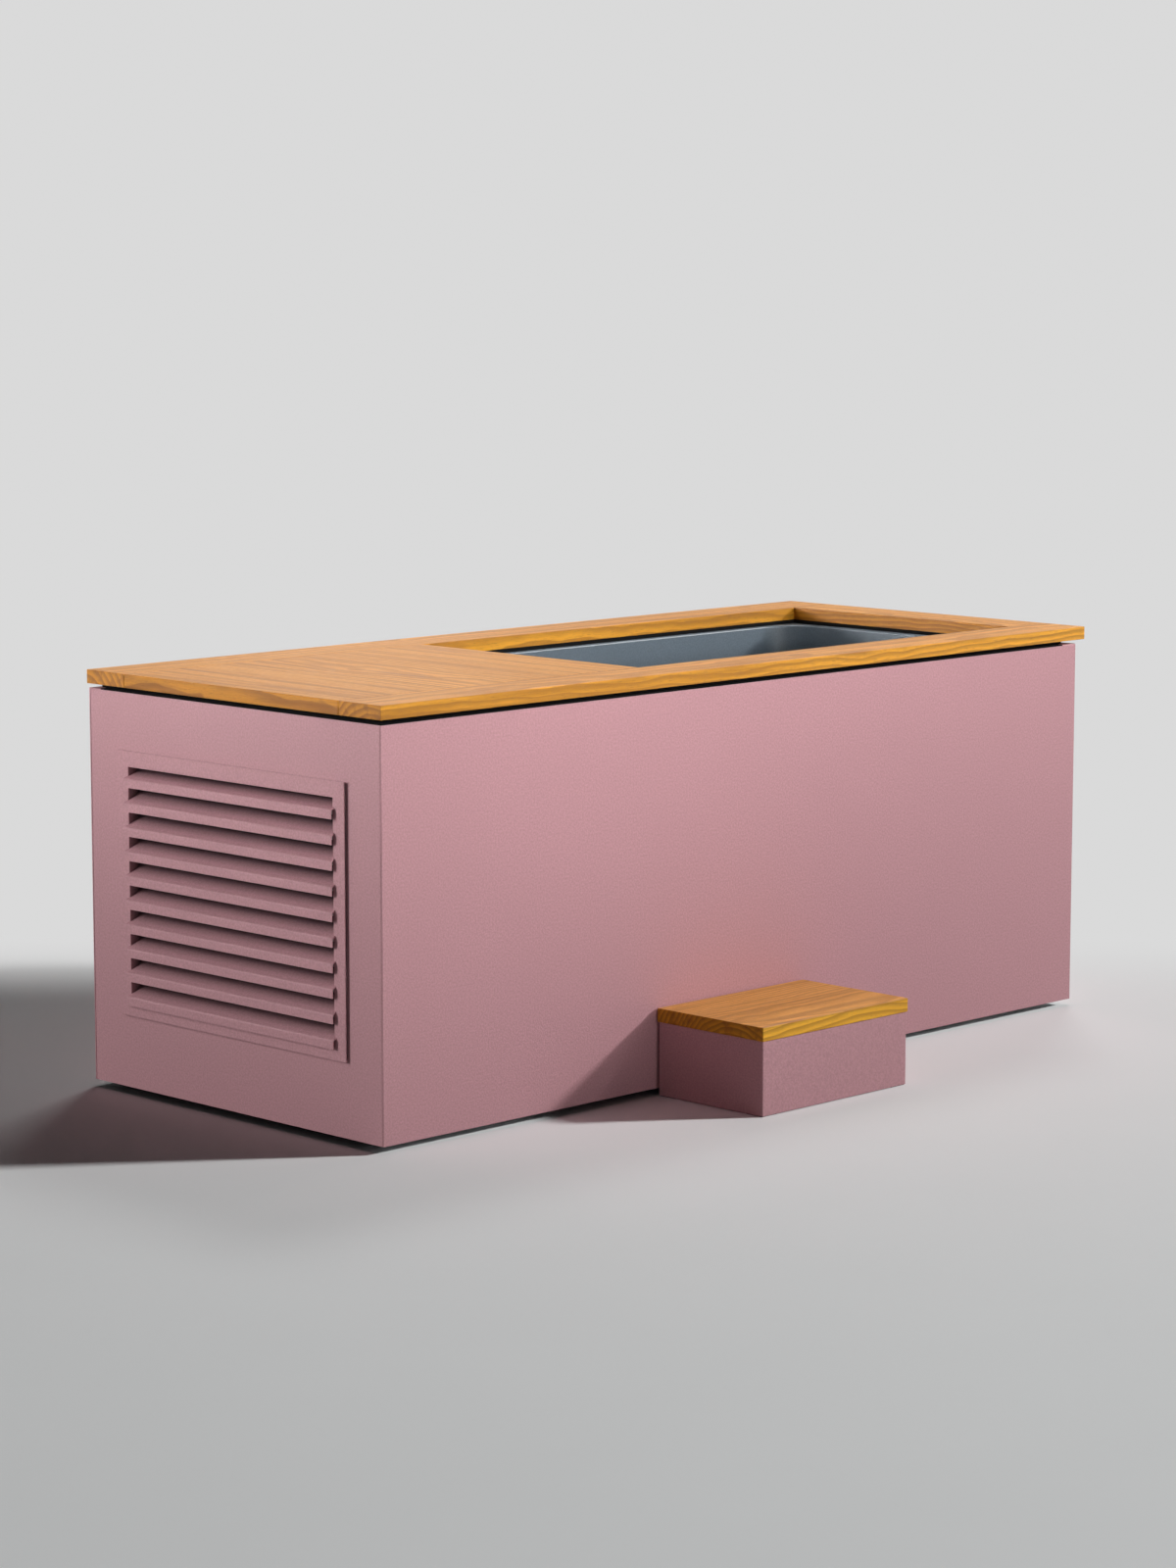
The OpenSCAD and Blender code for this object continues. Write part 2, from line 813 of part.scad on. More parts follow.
// Foam slabs round the basin, cut for the pipes
module side_insulation() color("#e8dcae") {
    low = z_shell + tray_rim + foam_end_gap;
    high = z_beam - foam_end_gap;
    end_y = basin_y + basin_t;
    for (side = [0, 1]) mirror([0, side, 0])
        block(cross_x1 + foam_end_gap, frame_x - tube - foam_end_gap,
            end_y + foam_gap, inner_y - foam_gap, low, high);
    block(basin_x1 + basin_t + foam_gap, inner_x - foam_gap, -end_y, end_y, low, high);
    difference() {
        block(cross_x0 + foam_gap, basin_x0 - basin_t - foam_gap, -end_y, end_y, low, high);
        pipe_holes(cross_x0, basin_x0);
        for (p = [[pump_y, suction_z], [0, return_z]])
            rod_x(nut_r + nut_clear, basin_x0 - tail_l - nut_clear, basin_x0, p[0], p[1]);
    }
}

// Foam bed that carries the basin's floor, with a channel for the drain
module floor_insulation() color("#e8dcae")
    difference() {
        block(basin_x0 - basin_t, basin_x1 + basin_t, -basin_y - basin_t,
            basin_y + basin_t, z_floor, basin_low);
        rod_z(drain_tail_r + drain_clear, drain_x, 0, z_floor - cut, basin_low + cut);
        block(basin_x0 - basin_t - cut, drain_x, -pipe_r - channel_clear,
            pipe_r + channel_clear, z_floor - cut, basin_low + cut);
    }

// Finned core with header bends at both ends
module condenser_coil() color("#b9bcc0") {
    row_pitch = (coil_z1 - coil_z0) / coil_rows;
    block(coil_x0, coil_x1, -coil_y, coil_y, coil_z0, coil_z1);
    for (side = [-1, 1], i = [0 : coil_rows / 2 - 1])
        translate([(coil_x0 + coil_x1) / 2, side * coil_y,
            coil_z0 + (2 * i + 1) * row_pitch])
            rotate([90, 0, side > 0 ? 90 : -90])
                rotate_extrude(angle = 180) translate([row_pitch / 2, 0])
                    circle(r = coil_tube_r);
}

// Angles that stand on the tray and hold the coil by its ends
module coil_brackets() color(STEEL)
    for (side = [0, 1]) mirror([0, side, 0]) {
        block(coil_x0 - coil_leg_t, coil_x0 - fit, coil_y - coil_leg_in,
            coil_y + coil_leg_out, z_floor, coil_z1);
        block(coil_x0 - coil_leg_t, coil_x1 - coil_leg_t, coil_y - coil_leg_in,
            coil_y + coil_leg_out, z_floor, z_floor + coil_leg_t);
    }

module fan_shroud() color(BLACK)
    difference() {
        union() {
            block(coil_x1, coil_x1 + shroud_t, -coil_y, coil_y, coil_z0, coil_z1);
            rod_x(fan_r + fan_gap + shroud_t, coil_x1, collar_x1, 0, fan_z);
        }
        rod_x(fan_r + fan_gap, coil_x1 - cut, collar_x1 + cut, 0, fan_z);
    }

// Motor on a four-armed spider, with its shaft towards the coil
module fan_motor() color("#3c3f43") {
    rod_x(motor_r, collar_x1, motor_x0 + motor_l, 0, fan_z);
    rod_x(shaft_r, motor_x0 - shaft_l, collar_x1, 0, fan_z);
    for (a = [45 : 90 : 315])
        translate([collar_x1, 0, fan_z]) rotate([a, 0, 0])
            block(0, spider_t, -spider_w / 2, spider_w / 2, motor_r - spider_w / 2,
                fan_r + fan_gap + shroud_t);
}

module fan_rotor() color("#2a2c30")
    difference() {
        union() {
            rod_x(hub_r, hub_x0, hub_x0 + hub_l, 0, fan_z);
            for (i = [0 : fan_blades - 1])
                translate([hub_x0 + hub_l / 2, 0, fan_z])
                    rotate([i * 360 / fan_blades, 0, 0])
                        fan_blade();
        }
        rod_x(shaft_r + run, hub_x0 - cut, hub_x0 + hub_l + cut, 0, fan_z);
    }

// Pitched blade, trimmed to the rotor's radius
module fan_blade()
    intersection() {
        rotate([0, 0, fan_pitch])
            block(-fan_blade_t / 2, fan_blade_t / 2, -fan_chord / 2, fan_chord / 2,
                hub_r - 2 * fan_blade_t, fan_r + cut);
        rod_x(fan_r, -hub_l, hub_l, 0, 0);
    }

// Hermetic can with a domed top on a foot plate
module compressor() color("#1c1d20") {
    plate_z = z_floor + foot_h;
    block(can_x - can_plate_l / 2, can_x + can_plate_l / 2, can_y - can_plate_w / 2,
        can_y + can_plate_w / 2, plate_z, plate_z + can_plate_t);
    rod_z(compressor_r, can_x, can_y, plate_z, can_top - can_dome);
    translate([can_x, can_y, can_top - can_dome])
        rotate_extrude() intersection() {
            square([compressor_r, can_dome]);
            union() {
                square([compressor_r - can_dome, can_dome]);
                translate([compressor_r - can_dome, 0]) circle(r = can_dome);
            }
        }
}

module compressor_feet() color(BLACK)
    for (side_x = [-1, 1], side_y = [-1, 1]) {
        x = can_x + side_x * (can_plate_l / 2 - foot_inset);
        y = can_y + side_y * (can_plate_w / 2 - foot_inset);
        difference() {
            rod_z(foot_r, x, y, z_floor, z_floor + foot_h);
            rod_z(foot_bore_r, x, y, z_floor - cut, z_floor + foot_h + cut);
        }
    }

module heat_exchanger() color("#202226") {
    rod_z(exchanger_r, can_x, exchanger_y, z_floor, z_floor + exchanger_h);
    rod_z(exchanger_r - exchanger_step, can_x, exchanger_y, z_floor + exchanger_h,
        exchanger_top);
}

// Copper lines between the compressor, the condenser and the heat exchanger
module refrigerant_pipes() color("#b87333") {
    coil_x = (coil_x0 + coil_x1) / 2;
    high = coil_z1 + gas_line_rise;
    pipe([[gas_line_x, gas_line_y, can_top], [gas_line_x, gas_line_y, high],
        [coil_x, gas_line_y, high], [coil_x, gas_line_y, coil_z1]],
        gas_line_r, line_wall, line_bend);
    pipe([[coil_x, exchanger_y, coil_z0], [coil_x, exchanger_y, liquid_line_z],
        [can_x - exchanger_r, exchanger_y, liquid_line_z]],
        liquid_line_r, line_wall, line_bend);
    pipe([[can_x, exchanger_y - exchanger_r, vapour_line_z],
        [can_x, can_y + compressor_r, vapour_line_z]],
        vapour_line_r, line_wall, line_bend);
}

// Pump with its wet end towards the bulkhead and its outlet on top
module circulation_pump() color("#2b3138")
    difference() {
        union() {
            rod_x(volute_r, pump_x - volute_l / 2, pump_x + volute_l / 2, pump_y, pump_z);
            rod_x(pump_motor_r, pump_x - volute_l / 2 - pump_motor_l,
                pump_x - volute_l / 2, pump_y, pump_z);
            rod_z(pipe_r, pump_x, outlet_y, pump_z, outlet_z);
        }
        rod_x(pipe_r - pipe_wall, pump_x, pump_x + volute_l, pump_y, pump_z);
        rod_z(outlet_bore_r, pump_x, outlet_y, pump_z, outlet_z + cut);
    }

module pump_mount() color(BLACK)
    for (x = [mount_x0, mount_x0 - mount_pitch])
        difference() {
            block(x, x + mount_t, pump_y - mount_y, pump_y + mount_y, z_floor, mount_z);
            rod_x(pump_motor_r + fit, x - cut, x + mount_t + cut, pump_y, pump_z);
        }

// Open-topped canister with a foot ring and two ports
module filter_housing() color("#2f3a44")
    difference() {
        union() {
            rod_z(filter_r, filter_x, filter_y, z_floor, filter_top);
            rod_y(pipe_r + port_wall, filter_x, filter_y, filter_y + filter_r + port_l,
                filter_port_z);
            rod_x(pipe_r + port_wall, filter_x - filter_r - port_l, filter_x, filter_y,
                filter_out_z);
        }
        rod_z(filter_r - filter_wall, filter_x, filter_y, z_floor + filter_base,
            filter_top + cut);
        rod_y(pipe_r + fit, filter_x, filter_y, filter_y + filter_r + port_l + cut,
            filter_port_z);
        rod_x(pipe_r + fit, filter_x - filter_r - port_l - cut, filter_x, filter_y,
            filter_out_z);
    }

// Screw collar with a cross grip
module filter_lid() color(BLACK) {
    grip_z = filter_top + lid_t;
    grip_l = 2 * (filter_r - grip_inset);
    difference() {
        rod_z(filter_r + lid_rim, filter_x, filter_y, filter_top - lid_skirt, grip_z);
        rod_z(filter_r + fit, filter_x, filter_y, filter_top - lid_skirt - cut,
            filter_top + fit);
    }
    translate([filter_x, filter_y, grip_z]) {
        translate([-grip_l / 2, -grip_w / 2, 0]) cube([grip_l, grip_w, grip_h]);
        translate([-grip_w / 2, -grip_l / 2, 0]) cube([grip_w, grip_l, grip_h]);
    }
}

// Pleated element on a perforated core
module filter_cartridge() color("#eef0f2")
    difference() {
        union() {
            low = z_floor + filter_base;
            rod_z(cartridge_r, filter_x, filter_y, low, low + cartridge_cap);
            rod_z(cartridge_r - pleat_inset, filter_x, filter_y, low, cartridge_top);
            rod_z(cartridge_r, filter_x, filter_y, cartridge_top - cartridge_cap,
                cartridge_top);
        }
        rod_z(core_r, filter_x, filter_y, z_floor + 2 * filter_base, cartridge_top + cut);
    }

// Steel tube of the ultraviolet steriliser, in the return line
module lamp_housing() color("#c3c8cc")
    difference() {
        union() {
            rod_x(lamp_r, lamp_x0, lamp_x1, 0, return_z);
            for (x = [lamp_x0, lamp_x1 - lamp_rim_l])
                rod_x(lamp_r + lamp_rim, x, x + lamp_rim_l, 0, return_z);
        }
        rod_x(pipe_r + fit, lamp_x0 - cut, lamp_x0 + lamp_socket, 0, return_z);
        rod_x(pipe_r + fit, lamp_x1 - lamp_socket, lamp_x1 + cut, 0, return_z);
    }

module water_pipe(points) color("#d8dadb") pipe(points, pipe_r, pipe_wall, bend_r);

module suction_pipe()
    water_pipe([[basin_x0 - tail_l, pump_y, suction_z], [suction_turn_x, pump_y, suction_z],
        [suction_turn_x, pump_y, pump_z], [pump_x + volute_l / 2, pump_y, pump_z]]);

module pump_pipe()
    water_pipe([[pump_x, outlet_y, outlet_z], [pump_x, outlet_y, filter_port_z],
        [filter_x, filter_y + filter_r - filter_wall / 2, filter_port_z]]);

module filter_pipe()
    water_pipe([[filter_x - filter_r + filter_wall / 2, filter_y, filter_out_z],
        [transfer_x, filter_y, filter_out_z], [transfer_x, exchanger_y, filter_out_z],
        [can_x + exchanger_r, exchanger_y, filter_out_z]]);

module riser_pipe()
    water_pipe([[can_x, exchanger_y, exchanger_top], [can_x, exchanger_y, return_z],
        [can_x, 0, return_z], [lamp_x0 + lamp_socket, 0, return_z]]);

module return_pipe()
    water_pipe([[lamp_x1 - lamp_socket, 0, return_z], [basin_x0 - tail_l, 0, return_z]]);

// Wall fittings: a face flange in the basin and a threaded tail behind the wall
module wall_fitting(y, z) {
    rod_x(face_r, basin_x0, basin_x0 + face_t, y, z);
    rod_x(wall_tail_r, basin_x0 - tail_l, basin_x0, y, z);
}

// Suction fitting with a slotted face
module suction_fitting() color("#cfd3d6")
    difference() {
        wall_fitting(pump_y, suction_z);
        rod_x(pipe_r - pipe_wall, basin_x0 - tail_l - cut, basin_x0 + face_t / 2, pump_y,
            suction_z);
        for (i = [-2 : 2]) {
            slot_z = suction_z + (2 * i - 0.5) * face_slot_w;
            block(basin_x0, basin_x0 + face_t + cut, pump_y - face_slot_l / 2,
                pump_y + face_slot_l / 2, slot_z, slot_z + face_slot_w);
        }
    }

// Return fitting with a round seat for the jet's ball
module return_fitting() color("#cfd3d6")
    difference() {
        wall_fitting(0, return_z);
        translate([ball_x, 0, return_z]) sphere(r = ball_r + fit);
        rod_x(jet_tail_r, basin_x0 - tail_l - cut, basin_x0, 0, return_z);
        rod_x(jet_open_r, basin_x0, basin_x0 + face_t + cut, 0, return_z);
    }

// Swivelling ball nozzle
module jet_eyeball() color("#f2f4f5")
    difference() {
        translate([ball_x, 0, return_z]) sphere(r = ball_r);
        rod_x(jet_bore_r, ball_x - ball_r - cut, ball_x + ball_r + cut, 0, return_z);
    }

// Floor strainer with its tail through the basin
module drain_strainer() color("#cfd3d6")
    difference() {
        union() {
            rod_z(strainer_r, drain_x, 0, basin_floor, basin_floor + strainer_t);
            rod_z(drain_tail_r, drain_x, 0, drain_z + bend_r, basin_floor);
        }
        rod_z(pipe_r - pipe_wall, drain_x, 0, drain_z + bend_r - cut,
            basin_floor + strainer_t / 4);
        for (a = [0 : 45 : 315])
            translate([drain_x, 0, 0]) rotate([0, 0, a])
                rod_z(strainer_hole_r, strainer_ring_r, 0, basin_floor,
                    basin_floor + strainer_t + cut);
    }

// Back nuts of the two wall fittings
module fitting_nuts() color("#9aa0a4")
    for (p = [[pump_y, suction_z], [0, return_z]])
        difference() {
            rod_x(nut_r, basin_x0 - basin_t - nut_l, basin_x0 - basin_t, p[0], p[1]);
            rod_x(wall_tail_r + run, basin_x0 - basin_t - nut_l - cut,
                basin_x0 - basin_t + cut, p[0], p[1]);
        }

module drain_pipe()
    water_pipe([[drain_x, 0, drain_z + bend_r], [drain_x, 0, drain_z],
        [drain_line_x, 0, drain_z],
        [drain_line_x, pocket_y - pocket_t - valve_tail_l, drain_z]]);

// Five-sided box let into the back panel
module service_recess() color(BLACK)
    difference() {
        block(pocket_x0 + fit, pocket_x1 - fit, pocket_y - pocket_t, half_w - 0.5,
            pocket_z0 + fit, pocket_z1 - fit);
        block(pocket_x0 + fit + pocket_t, pocket_x1 - fit - pocket_t, pocket_y,
            half_w + cut, pocket_z0 + fit + pocket_t, pocket_z1 - fit - pocket_t);
        rod_y(valve_tail_r + fit, drain_line_x, pocket_y - pocket_t - cut, pocket_y + cut,
            drain_z);
        rod_y(gland_tail_r + fit, switch_x, pocket_y - pocket_t - cut, pocket_y + cut,
            gland_z);
        block(switch_x - switch_half_x - fit, switch_x + switch_half_x + fit,
            pocket_y - pocket_t - cut, pocket_y + cut, switch_z - switch_half_z - fit,
            switch_z + switch_half_z + fit);
    }

// Ball valve with a hose spigot towards the back
module drain_valve() color("#b8a04a")
    difference() {
        tail_y = pocket_y - pocket_t - valve_tail_l;
        body_y = pocket_y + valve_l;
        union() {
            rod_y(valve_tail_r, drain_line_x, tail_y, pocket_y, drain_z);
            rod_y(valve_r, drain_line_x, pocket_y, body_y, drain_z);
            rod_y(spigot_r, drain_line_x, body_y, body_y + spigot_l, drain_z);
            rod_z(stem_r, drain_line_x, stem_y, drain_z, lever_z + 2 * lever_t);
        }
        rod_y(valve_bore_r, drain_line_x, stem_y + ball_seat, body_y + spigot_l + cut,
            drain_z);
        rod_y(valve_bore_r, drain_line_x, tail_y - cut, stem_y - ball_seat, drain_z);
    }

module drain_lever() color("#a02c2c")
    difference() {
        union() {
            rod_z(lever_boss_r, drain_line_x, stem_y, lever_z, lever_z + lever_t);
            block(drain_line_x - lever_l, drain_line_x, stem_y - lever_w / 2,
                stem_y + lever_w / 2, lever_z, lever_z + lever_t);
        }
        rod_z(stem_r + run, drain_line_x, stem_y, lever_z - cut, lever_z + lever_t + cut);
    }

// Hexagonal gland for the supply cable
module cable_gland() color(BLACK)
    difference() {
        tail_y = pocket_y - pocket_t - gland_tail_l;
        hex_y = pocket_y + gland_hex_l;
        union() {
            rod_y(gland_tail_r, switch_x, tail_y, pocket_y, gland_z);
            translate([switch_x, hex_y, gland_z]) rotate([90, 0, 0])
                cylinder(r = gland_hex_r, h = gland_hex_l, $fn = 6);
            rod_y(gland_cap_r, switch_x, hex_y, hex_y + gland_cap_l, gland_z);
        }
        rod_y(gland_bore_r, switch_x, tail_y - cut, hex_y + gland_cap_l + cut, gland_z);
    }

// Mains switch: bezel and body with a trough for the rocker
module switch_body() color(BLACK)
    difference() {
        union() {
            block(switch_x - bezel_x, switch_x + bezel_x, pocket_y, pocket_y + bezel_t,
                switch_z - bezel_z, switch_z + bezel_z);
            block(switch_x - switch_half_x, switch_x + switch_half_x, pocket_y - switch_d,
                pocket_y, switch_z - switch_half_z, switch_z + switch_half_z);
        }
        rod_x(rocker_r + fit, switch_x - rocker_half - fit, switch_x + rocker_half + fit,
            rocker_y, switch_z);
    }

// Rocker with a flat face on each half
module switch_rocker() color("#8e1d1d")
    intersection() {
        rod_x(rocker_r, switch_x - rocker_half, switch_x + rocker_half, rocker_y, switch_z);
        translate([switch_x, rocker_y, switch_z]) rotate([-rocker_tilt, 0, 0])
            block(-rocker_half - cut, rocker_half + cut, -rocker_r, rocker_rise,
                -rocker_r, rocker_r);
    }

// Control box on the bulkhead, with a folded lid
module control_box() color("#c9ccd0") {
    front = bay_x1 - box_d;
    block(front, bay_x1, box_y0, box_y1, box_z0, box_z1);
    block(front - box_lid_t, front - fit, box_y0 - box_lid_rim, box_y1 + box_lid_rim,
        box_z0 - box_lid_rim, box_z1 + box_lid_rim);
    for (y = [box_y0 + box_stud_inset, box_y1 - box_stud_inset],
        z = [box_z0 + box_stud_inset, box_z1 - box_stud_inset])
        rod_x(box_stud_r, front - fit, front, y, z);
}

// Supply and fan leads, clipped along the bay
module wiring() color("#101012") {
    box_x = bay_x1 - box_d - box_lid_t;
    supply_z = box_z0 + supply_rise;
    fan_lead_z = box_z0 + fan_lead_rise;
    run_solid([[switch_x, pocket_y - pocket_t - gland_tail_l, gland_z],
        [switch_x, lead_y, gland_z], [switch_x, lead_y, supply_z],
        [box_x, lead_y, supply_z]], lead_r, lead_bend, 0);
    run_solid([[motor_x0 + motor_l, fan_lead_y0, fan_z], [fan_lead_x, fan_lead_y0, fan_z],
        [fan_lead_x, fan_lead_y0, fan_lead_z], [fan_lead_x, fan_lead_y1, fan_lead_z],
        [box_x, fan_lead_y1, fan_lead_z]], lead_r, lead_bend, 0);
}

// Box of the step: closed on top, open below
module step_box() color(PINK) {
    x0 = step_x0 + step_overhang;
    x1 = step_x1 - step_overhang;
    y0 = step_y0 + step_overhang;
    y1 = step_y1 - step_overhang;
    difference() {
        block(x0, x1, y0, y1, foot_pad, tread_z);
        block(x0 + step_t, x1 - step_t, y0 + step_t, y1 - step_t,
            foot_pad - cut, tread_z - step_t);
    }
}

module step_tread() color(WOOD)
    board_x(step_x0, step_x1, step_y0, step_y1, tread_z, step_h);

module step_feet() color(BLACK)
    for (x = [step_x0 + step_foot_inset, step_x1 - step_foot_inset - step_foot_w],
        y = [step_y0 + step_foot_inset, step_y1 - step_foot_inset - step_foot_w])
        block(x, x + step_foot_w, y, y + step_foot_w, 0, step_foot_h);

base_skids();
floor_tray();
posts();
long_beams();
cross_beams();
bulkhead();
front_panel();
back_panel();
foot_end_panel();
vent_end_panel();
grille_gasket();
grille_frame();
louvre_blades();
grille_brackets();
spacer_frame();
front_rail();
back_rail();
end_rail();
deck_panel();
deck_battens();
tub_basin();
side_insulation();
floor_insulation();
condenser_coil();
coil_brackets();
fan_shroud();
fan_motor();
fan_rotor();
compressor();
compressor_feet();
heat_exchanger();
refrigerant_pipes();
circulation_pump();
pump_mount();
filter_housing();
filter_lid();
filter_cartridge();
lamp_housing();
suction_pipe();
pump_pipe();
filter_pipe();
riser_pipe();
return_pipe();
suction_fitting();
return_fitting();
jet_eyeball();
drain_strainer();
fitting_nuts();
drain_pipe();
service_recess();
drain_valve();
drain_lever();
cable_gland();
switch_body();
switch_rocker();
control_box();
wiring();
step_box();
step_tread();
step_feet();
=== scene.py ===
"""Cold plunge tub with a louvred chiller bay, a wooden top and a step.

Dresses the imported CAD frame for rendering. Every sub-assembly is a class whose fields are its
sizes in metres, and whose build method makes its pieces in the shared row frame.
"""
import logging
import math
from dataclasses import dataclass, field
from enum import Enum

import bmesh
import bpy
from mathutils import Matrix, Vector


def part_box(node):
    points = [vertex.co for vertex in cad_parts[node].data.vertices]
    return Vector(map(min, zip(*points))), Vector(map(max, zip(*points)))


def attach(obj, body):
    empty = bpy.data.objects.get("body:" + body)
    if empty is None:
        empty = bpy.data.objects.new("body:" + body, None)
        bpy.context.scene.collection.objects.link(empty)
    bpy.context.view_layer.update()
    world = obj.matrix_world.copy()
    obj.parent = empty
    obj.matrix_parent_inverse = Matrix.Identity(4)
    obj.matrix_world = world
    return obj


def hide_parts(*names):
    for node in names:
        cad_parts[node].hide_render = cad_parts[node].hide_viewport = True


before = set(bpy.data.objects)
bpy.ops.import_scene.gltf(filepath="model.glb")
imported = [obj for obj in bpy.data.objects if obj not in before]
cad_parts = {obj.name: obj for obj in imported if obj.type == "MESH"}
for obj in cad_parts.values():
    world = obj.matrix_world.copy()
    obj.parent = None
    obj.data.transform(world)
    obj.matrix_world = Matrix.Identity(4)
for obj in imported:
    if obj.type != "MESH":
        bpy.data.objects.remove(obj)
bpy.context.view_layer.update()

logging.basicConfig(level=logging.INFO, format="%(name)s: %(message)s")
LOG = logging.getLogger("tub")

Range = tuple[float, float]
Colour = tuple[float, float, float]
Point = tuple[float, float, float]
Spot = tuple[float, float]

MM = 0.001
QUARTER = 90.0
SHARP = math.radians(38)
WHOLE: Range = (0.0, 1.0)
MOST_NOISE: Range = (0.3, 0.7)
EVEN = 0.5
GRITTY = 0.6


class Axis(Enum):
    """Directions of the row frame."""

    X = 0
    Y = 1
    Z = 2

    @property
    def others(self) -> tuple[int, int]:
        """The two other axes, in cyclic order."""
        return (self.value + 1) % 3, (self.value + 2) % 3


class Side(Enum):
    """The end of an axis that a panel faces."""

    LOW = -1
    HIGH = 1


class Body(Enum):
    """CAD bodies that the scene's own pieces ride on."""

    TUB = "tub"
    DECK = "deck_hatch"
    STEP = "step"


class Op(Enum):
    """Sums that a Math node does."""

    ADD = "ADD"
    SUBTRACT = "SUBTRACT"
    MULTIPLY = "MULTIPLY"
    DIVIDE = "DIVIDE"
    MULTIPLY_ADD = "MULTIPLY_ADD"
    MAXIMUM = "MAXIMUM"
    FLOOR = "FLOOR"
    FRACTION = "FRACT"
    ABSOLUTE = "ABSOLUTE"
    PINGPONG = "PINGPONG"
    SINE = "SINE"


class Blend(Enum):
    """Ways to lay one colour over another."""

    MIX = "MIX"
    MULTIPLY = "MULTIPLY"


class Detail(Enum):
    """Number of finer layers in a noise."""

    PLAIN = 0.0
    FINE = 1.0
    RICH = 2.0
    FULL = 3.0


# Shader helpers


class NodeGraph:
    """Short calls that add and link the shader nodes of one material.

    Args:
        name: the material's name.
    """

    def __init__(self, name: str) -> None:
        """Starts a material with its shader, its output and the object's coordinates."""
        self.material = bpy.data.materials.new(name)
        self.material.use_nodes = True
        self.tree = self.material.node_tree
        self.tree.nodes.clear()
        self.shader = self.tree.nodes.new("ShaderNodeBsdfPrincipled")
        self.output = self.tree.nodes.new("ShaderNodeOutputMaterial")
        self.tree.links.new(self.shader.outputs[0], self.output.inputs["Surface"])
        coordinates = self.tree.nodes.new("ShaderNodeTexCoord")
        self.place = coordinates.outputs["Object"]
        self.normal = coordinates.outputs["Normal"]

    def _feed(self, socket: bpy.types.NodeSocket, value: object) -> None:
        """Links an output to a socket, or sets the socket's own value."""
        if isinstance(value, bpy.types.NodeSocket):
            self.tree.links.new(value, socket)
        elif value is not None:
            socket.default_value = value

    def set(self, **values: object) -> None:
        """Feeds the shader's sockets; underscores in the names stand for spaces."""
        for name, value in values.items():
            self._feed(self.shader.inputs[name.replace("_", " ")], value)

    def stretch(self, scale: Point) -> bpy.types.NodeSocket:
        """The object's coordinates, scaled along each axis."""
        node = self.tree.nodes.new("ShaderNodeMapping")
        self._feed(node.inputs["Vector"], self.place)
        node.inputs["Scale"].default_value = scale
        return node.outputs[0]

    def noise(self, scale: float, detail: Detail = Detail.RICH, rough: float = EVEN,
              source: object = None, colour: bool = False) -> bpy.types.NodeSocket:
        """Noise between 0 and 1.

        Args:
            scale: features per unit of the source coordinates.
            detail: number of finer layers.
            rough: strength of the finer layers.
            source: coordinates; the object's own if left out.
            colour: gives the three-channel output instead.

        Returns:
            The noise value, or its colour.
        """
        node = self.tree.nodes.new("ShaderNodeTexNoise")
        self._feed(node.inputs["Vector"], source if source is not None else self.place)
        node.inputs["Scale"].default_value = scale
        node.inputs["Detail"].default_value = detail.value
        node.inputs["Roughness"].default_value = rough
        return node.outputs["Color" if colour else 0]

    def cells(self, scale: float) -> bpy.types.NodeSocket:
        """Distance to the nearest of some scattered points."""
        node = self.tree.nodes.new("ShaderNodeTexVoronoi")
        self._feed(node.inputs["Vector"], self.place)
        node.inputs["Scale"].default_value = scale
        return node.outputs["Distance"]

    def math(self, operation: Op, *values: object) -> bpy.types.NodeSocket:
        """One Math node, with up to three values."""
        node = self.tree.nodes.new("ShaderNodeMath")
        node.operation = operation.value
        for socket, value in zip(node.inputs, values):
            self._feed(socket, value)
        return node.outputs[0]

    def length(self, vector: object) -> bpy.types.NodeSocket:
        """The length of a vector."""
        node = self.tree.nodes.new("ShaderNodeVectorMath")
        node.operation = "LENGTH"
        self._feed(node.inputs[0], vector)
        return node.outputs["Value"]

    def split(self, vector: object) -> list[bpy.types.NodeSocket]:
        """The three parts of a vector."""
        node = self.tree.nodes.new("ShaderNodeSeparateXYZ")
        self._feed(node.inputs[0], vector)
        return list(node.outputs)

    def join(self, *parts: object) -> bpy.types.NodeSocket:
        """A vector from three parts."""
        node = self.tree.nodes.new("ShaderNodeCombineXYZ")
        for socket, value in zip(node.inputs, parts):
            self._feed(socket, value)
        return node.outputs[0]

    def fit(self, value: object, span: Range, to: Range = WHOLE,
            smooth: bool = False) -> bpy.types.NodeSocket:
        """Maps a range of values to another.

        Args:
            value: the output to map.
            span: values that become the ends of the new range.
            to: the new range, which the result never leaves.
            smooth: eases in and out.

        Returns:
            The mapped value.
        """
        node = self.tree.nodes.new("ShaderNodeMapRange")
        node.interpolation_type = "SMOOTHSTEP" if smooth else "LINEAR"
        for name, number in zip(("From Min", "From Max", "To Min", "To Max"), span + to):
            node.inputs[name].default_value = number
        self._feed(node.inputs["Value"], value)
        return node.outputs[0]

    def blend(self, factor: object, first: object, second: object,
              mode: Blend = Blend.MIX) -> bpy.types.NodeSocket:
        """Lays a colour over another.

        Args:
            factor: a number or an output between 0 and 1.
            first: colour or output at 0.
            second: colour or output at 1.
            mode: way of blending.

        Returns:
            The blended colour.
        """
        node = self.tree.nodes.new("ShaderNodeMix")
        node.data_type = "RGBA"
        node.blend_type = mode.value
        self._feed(node.inputs[0], factor)
        for socket, value in ((node.inputs[6], first), (node.inputs[7], second)):
            self._feed(socket, (*value, 1.0) if isinstance(value, tuple) else value)
        return node.outputs[2]

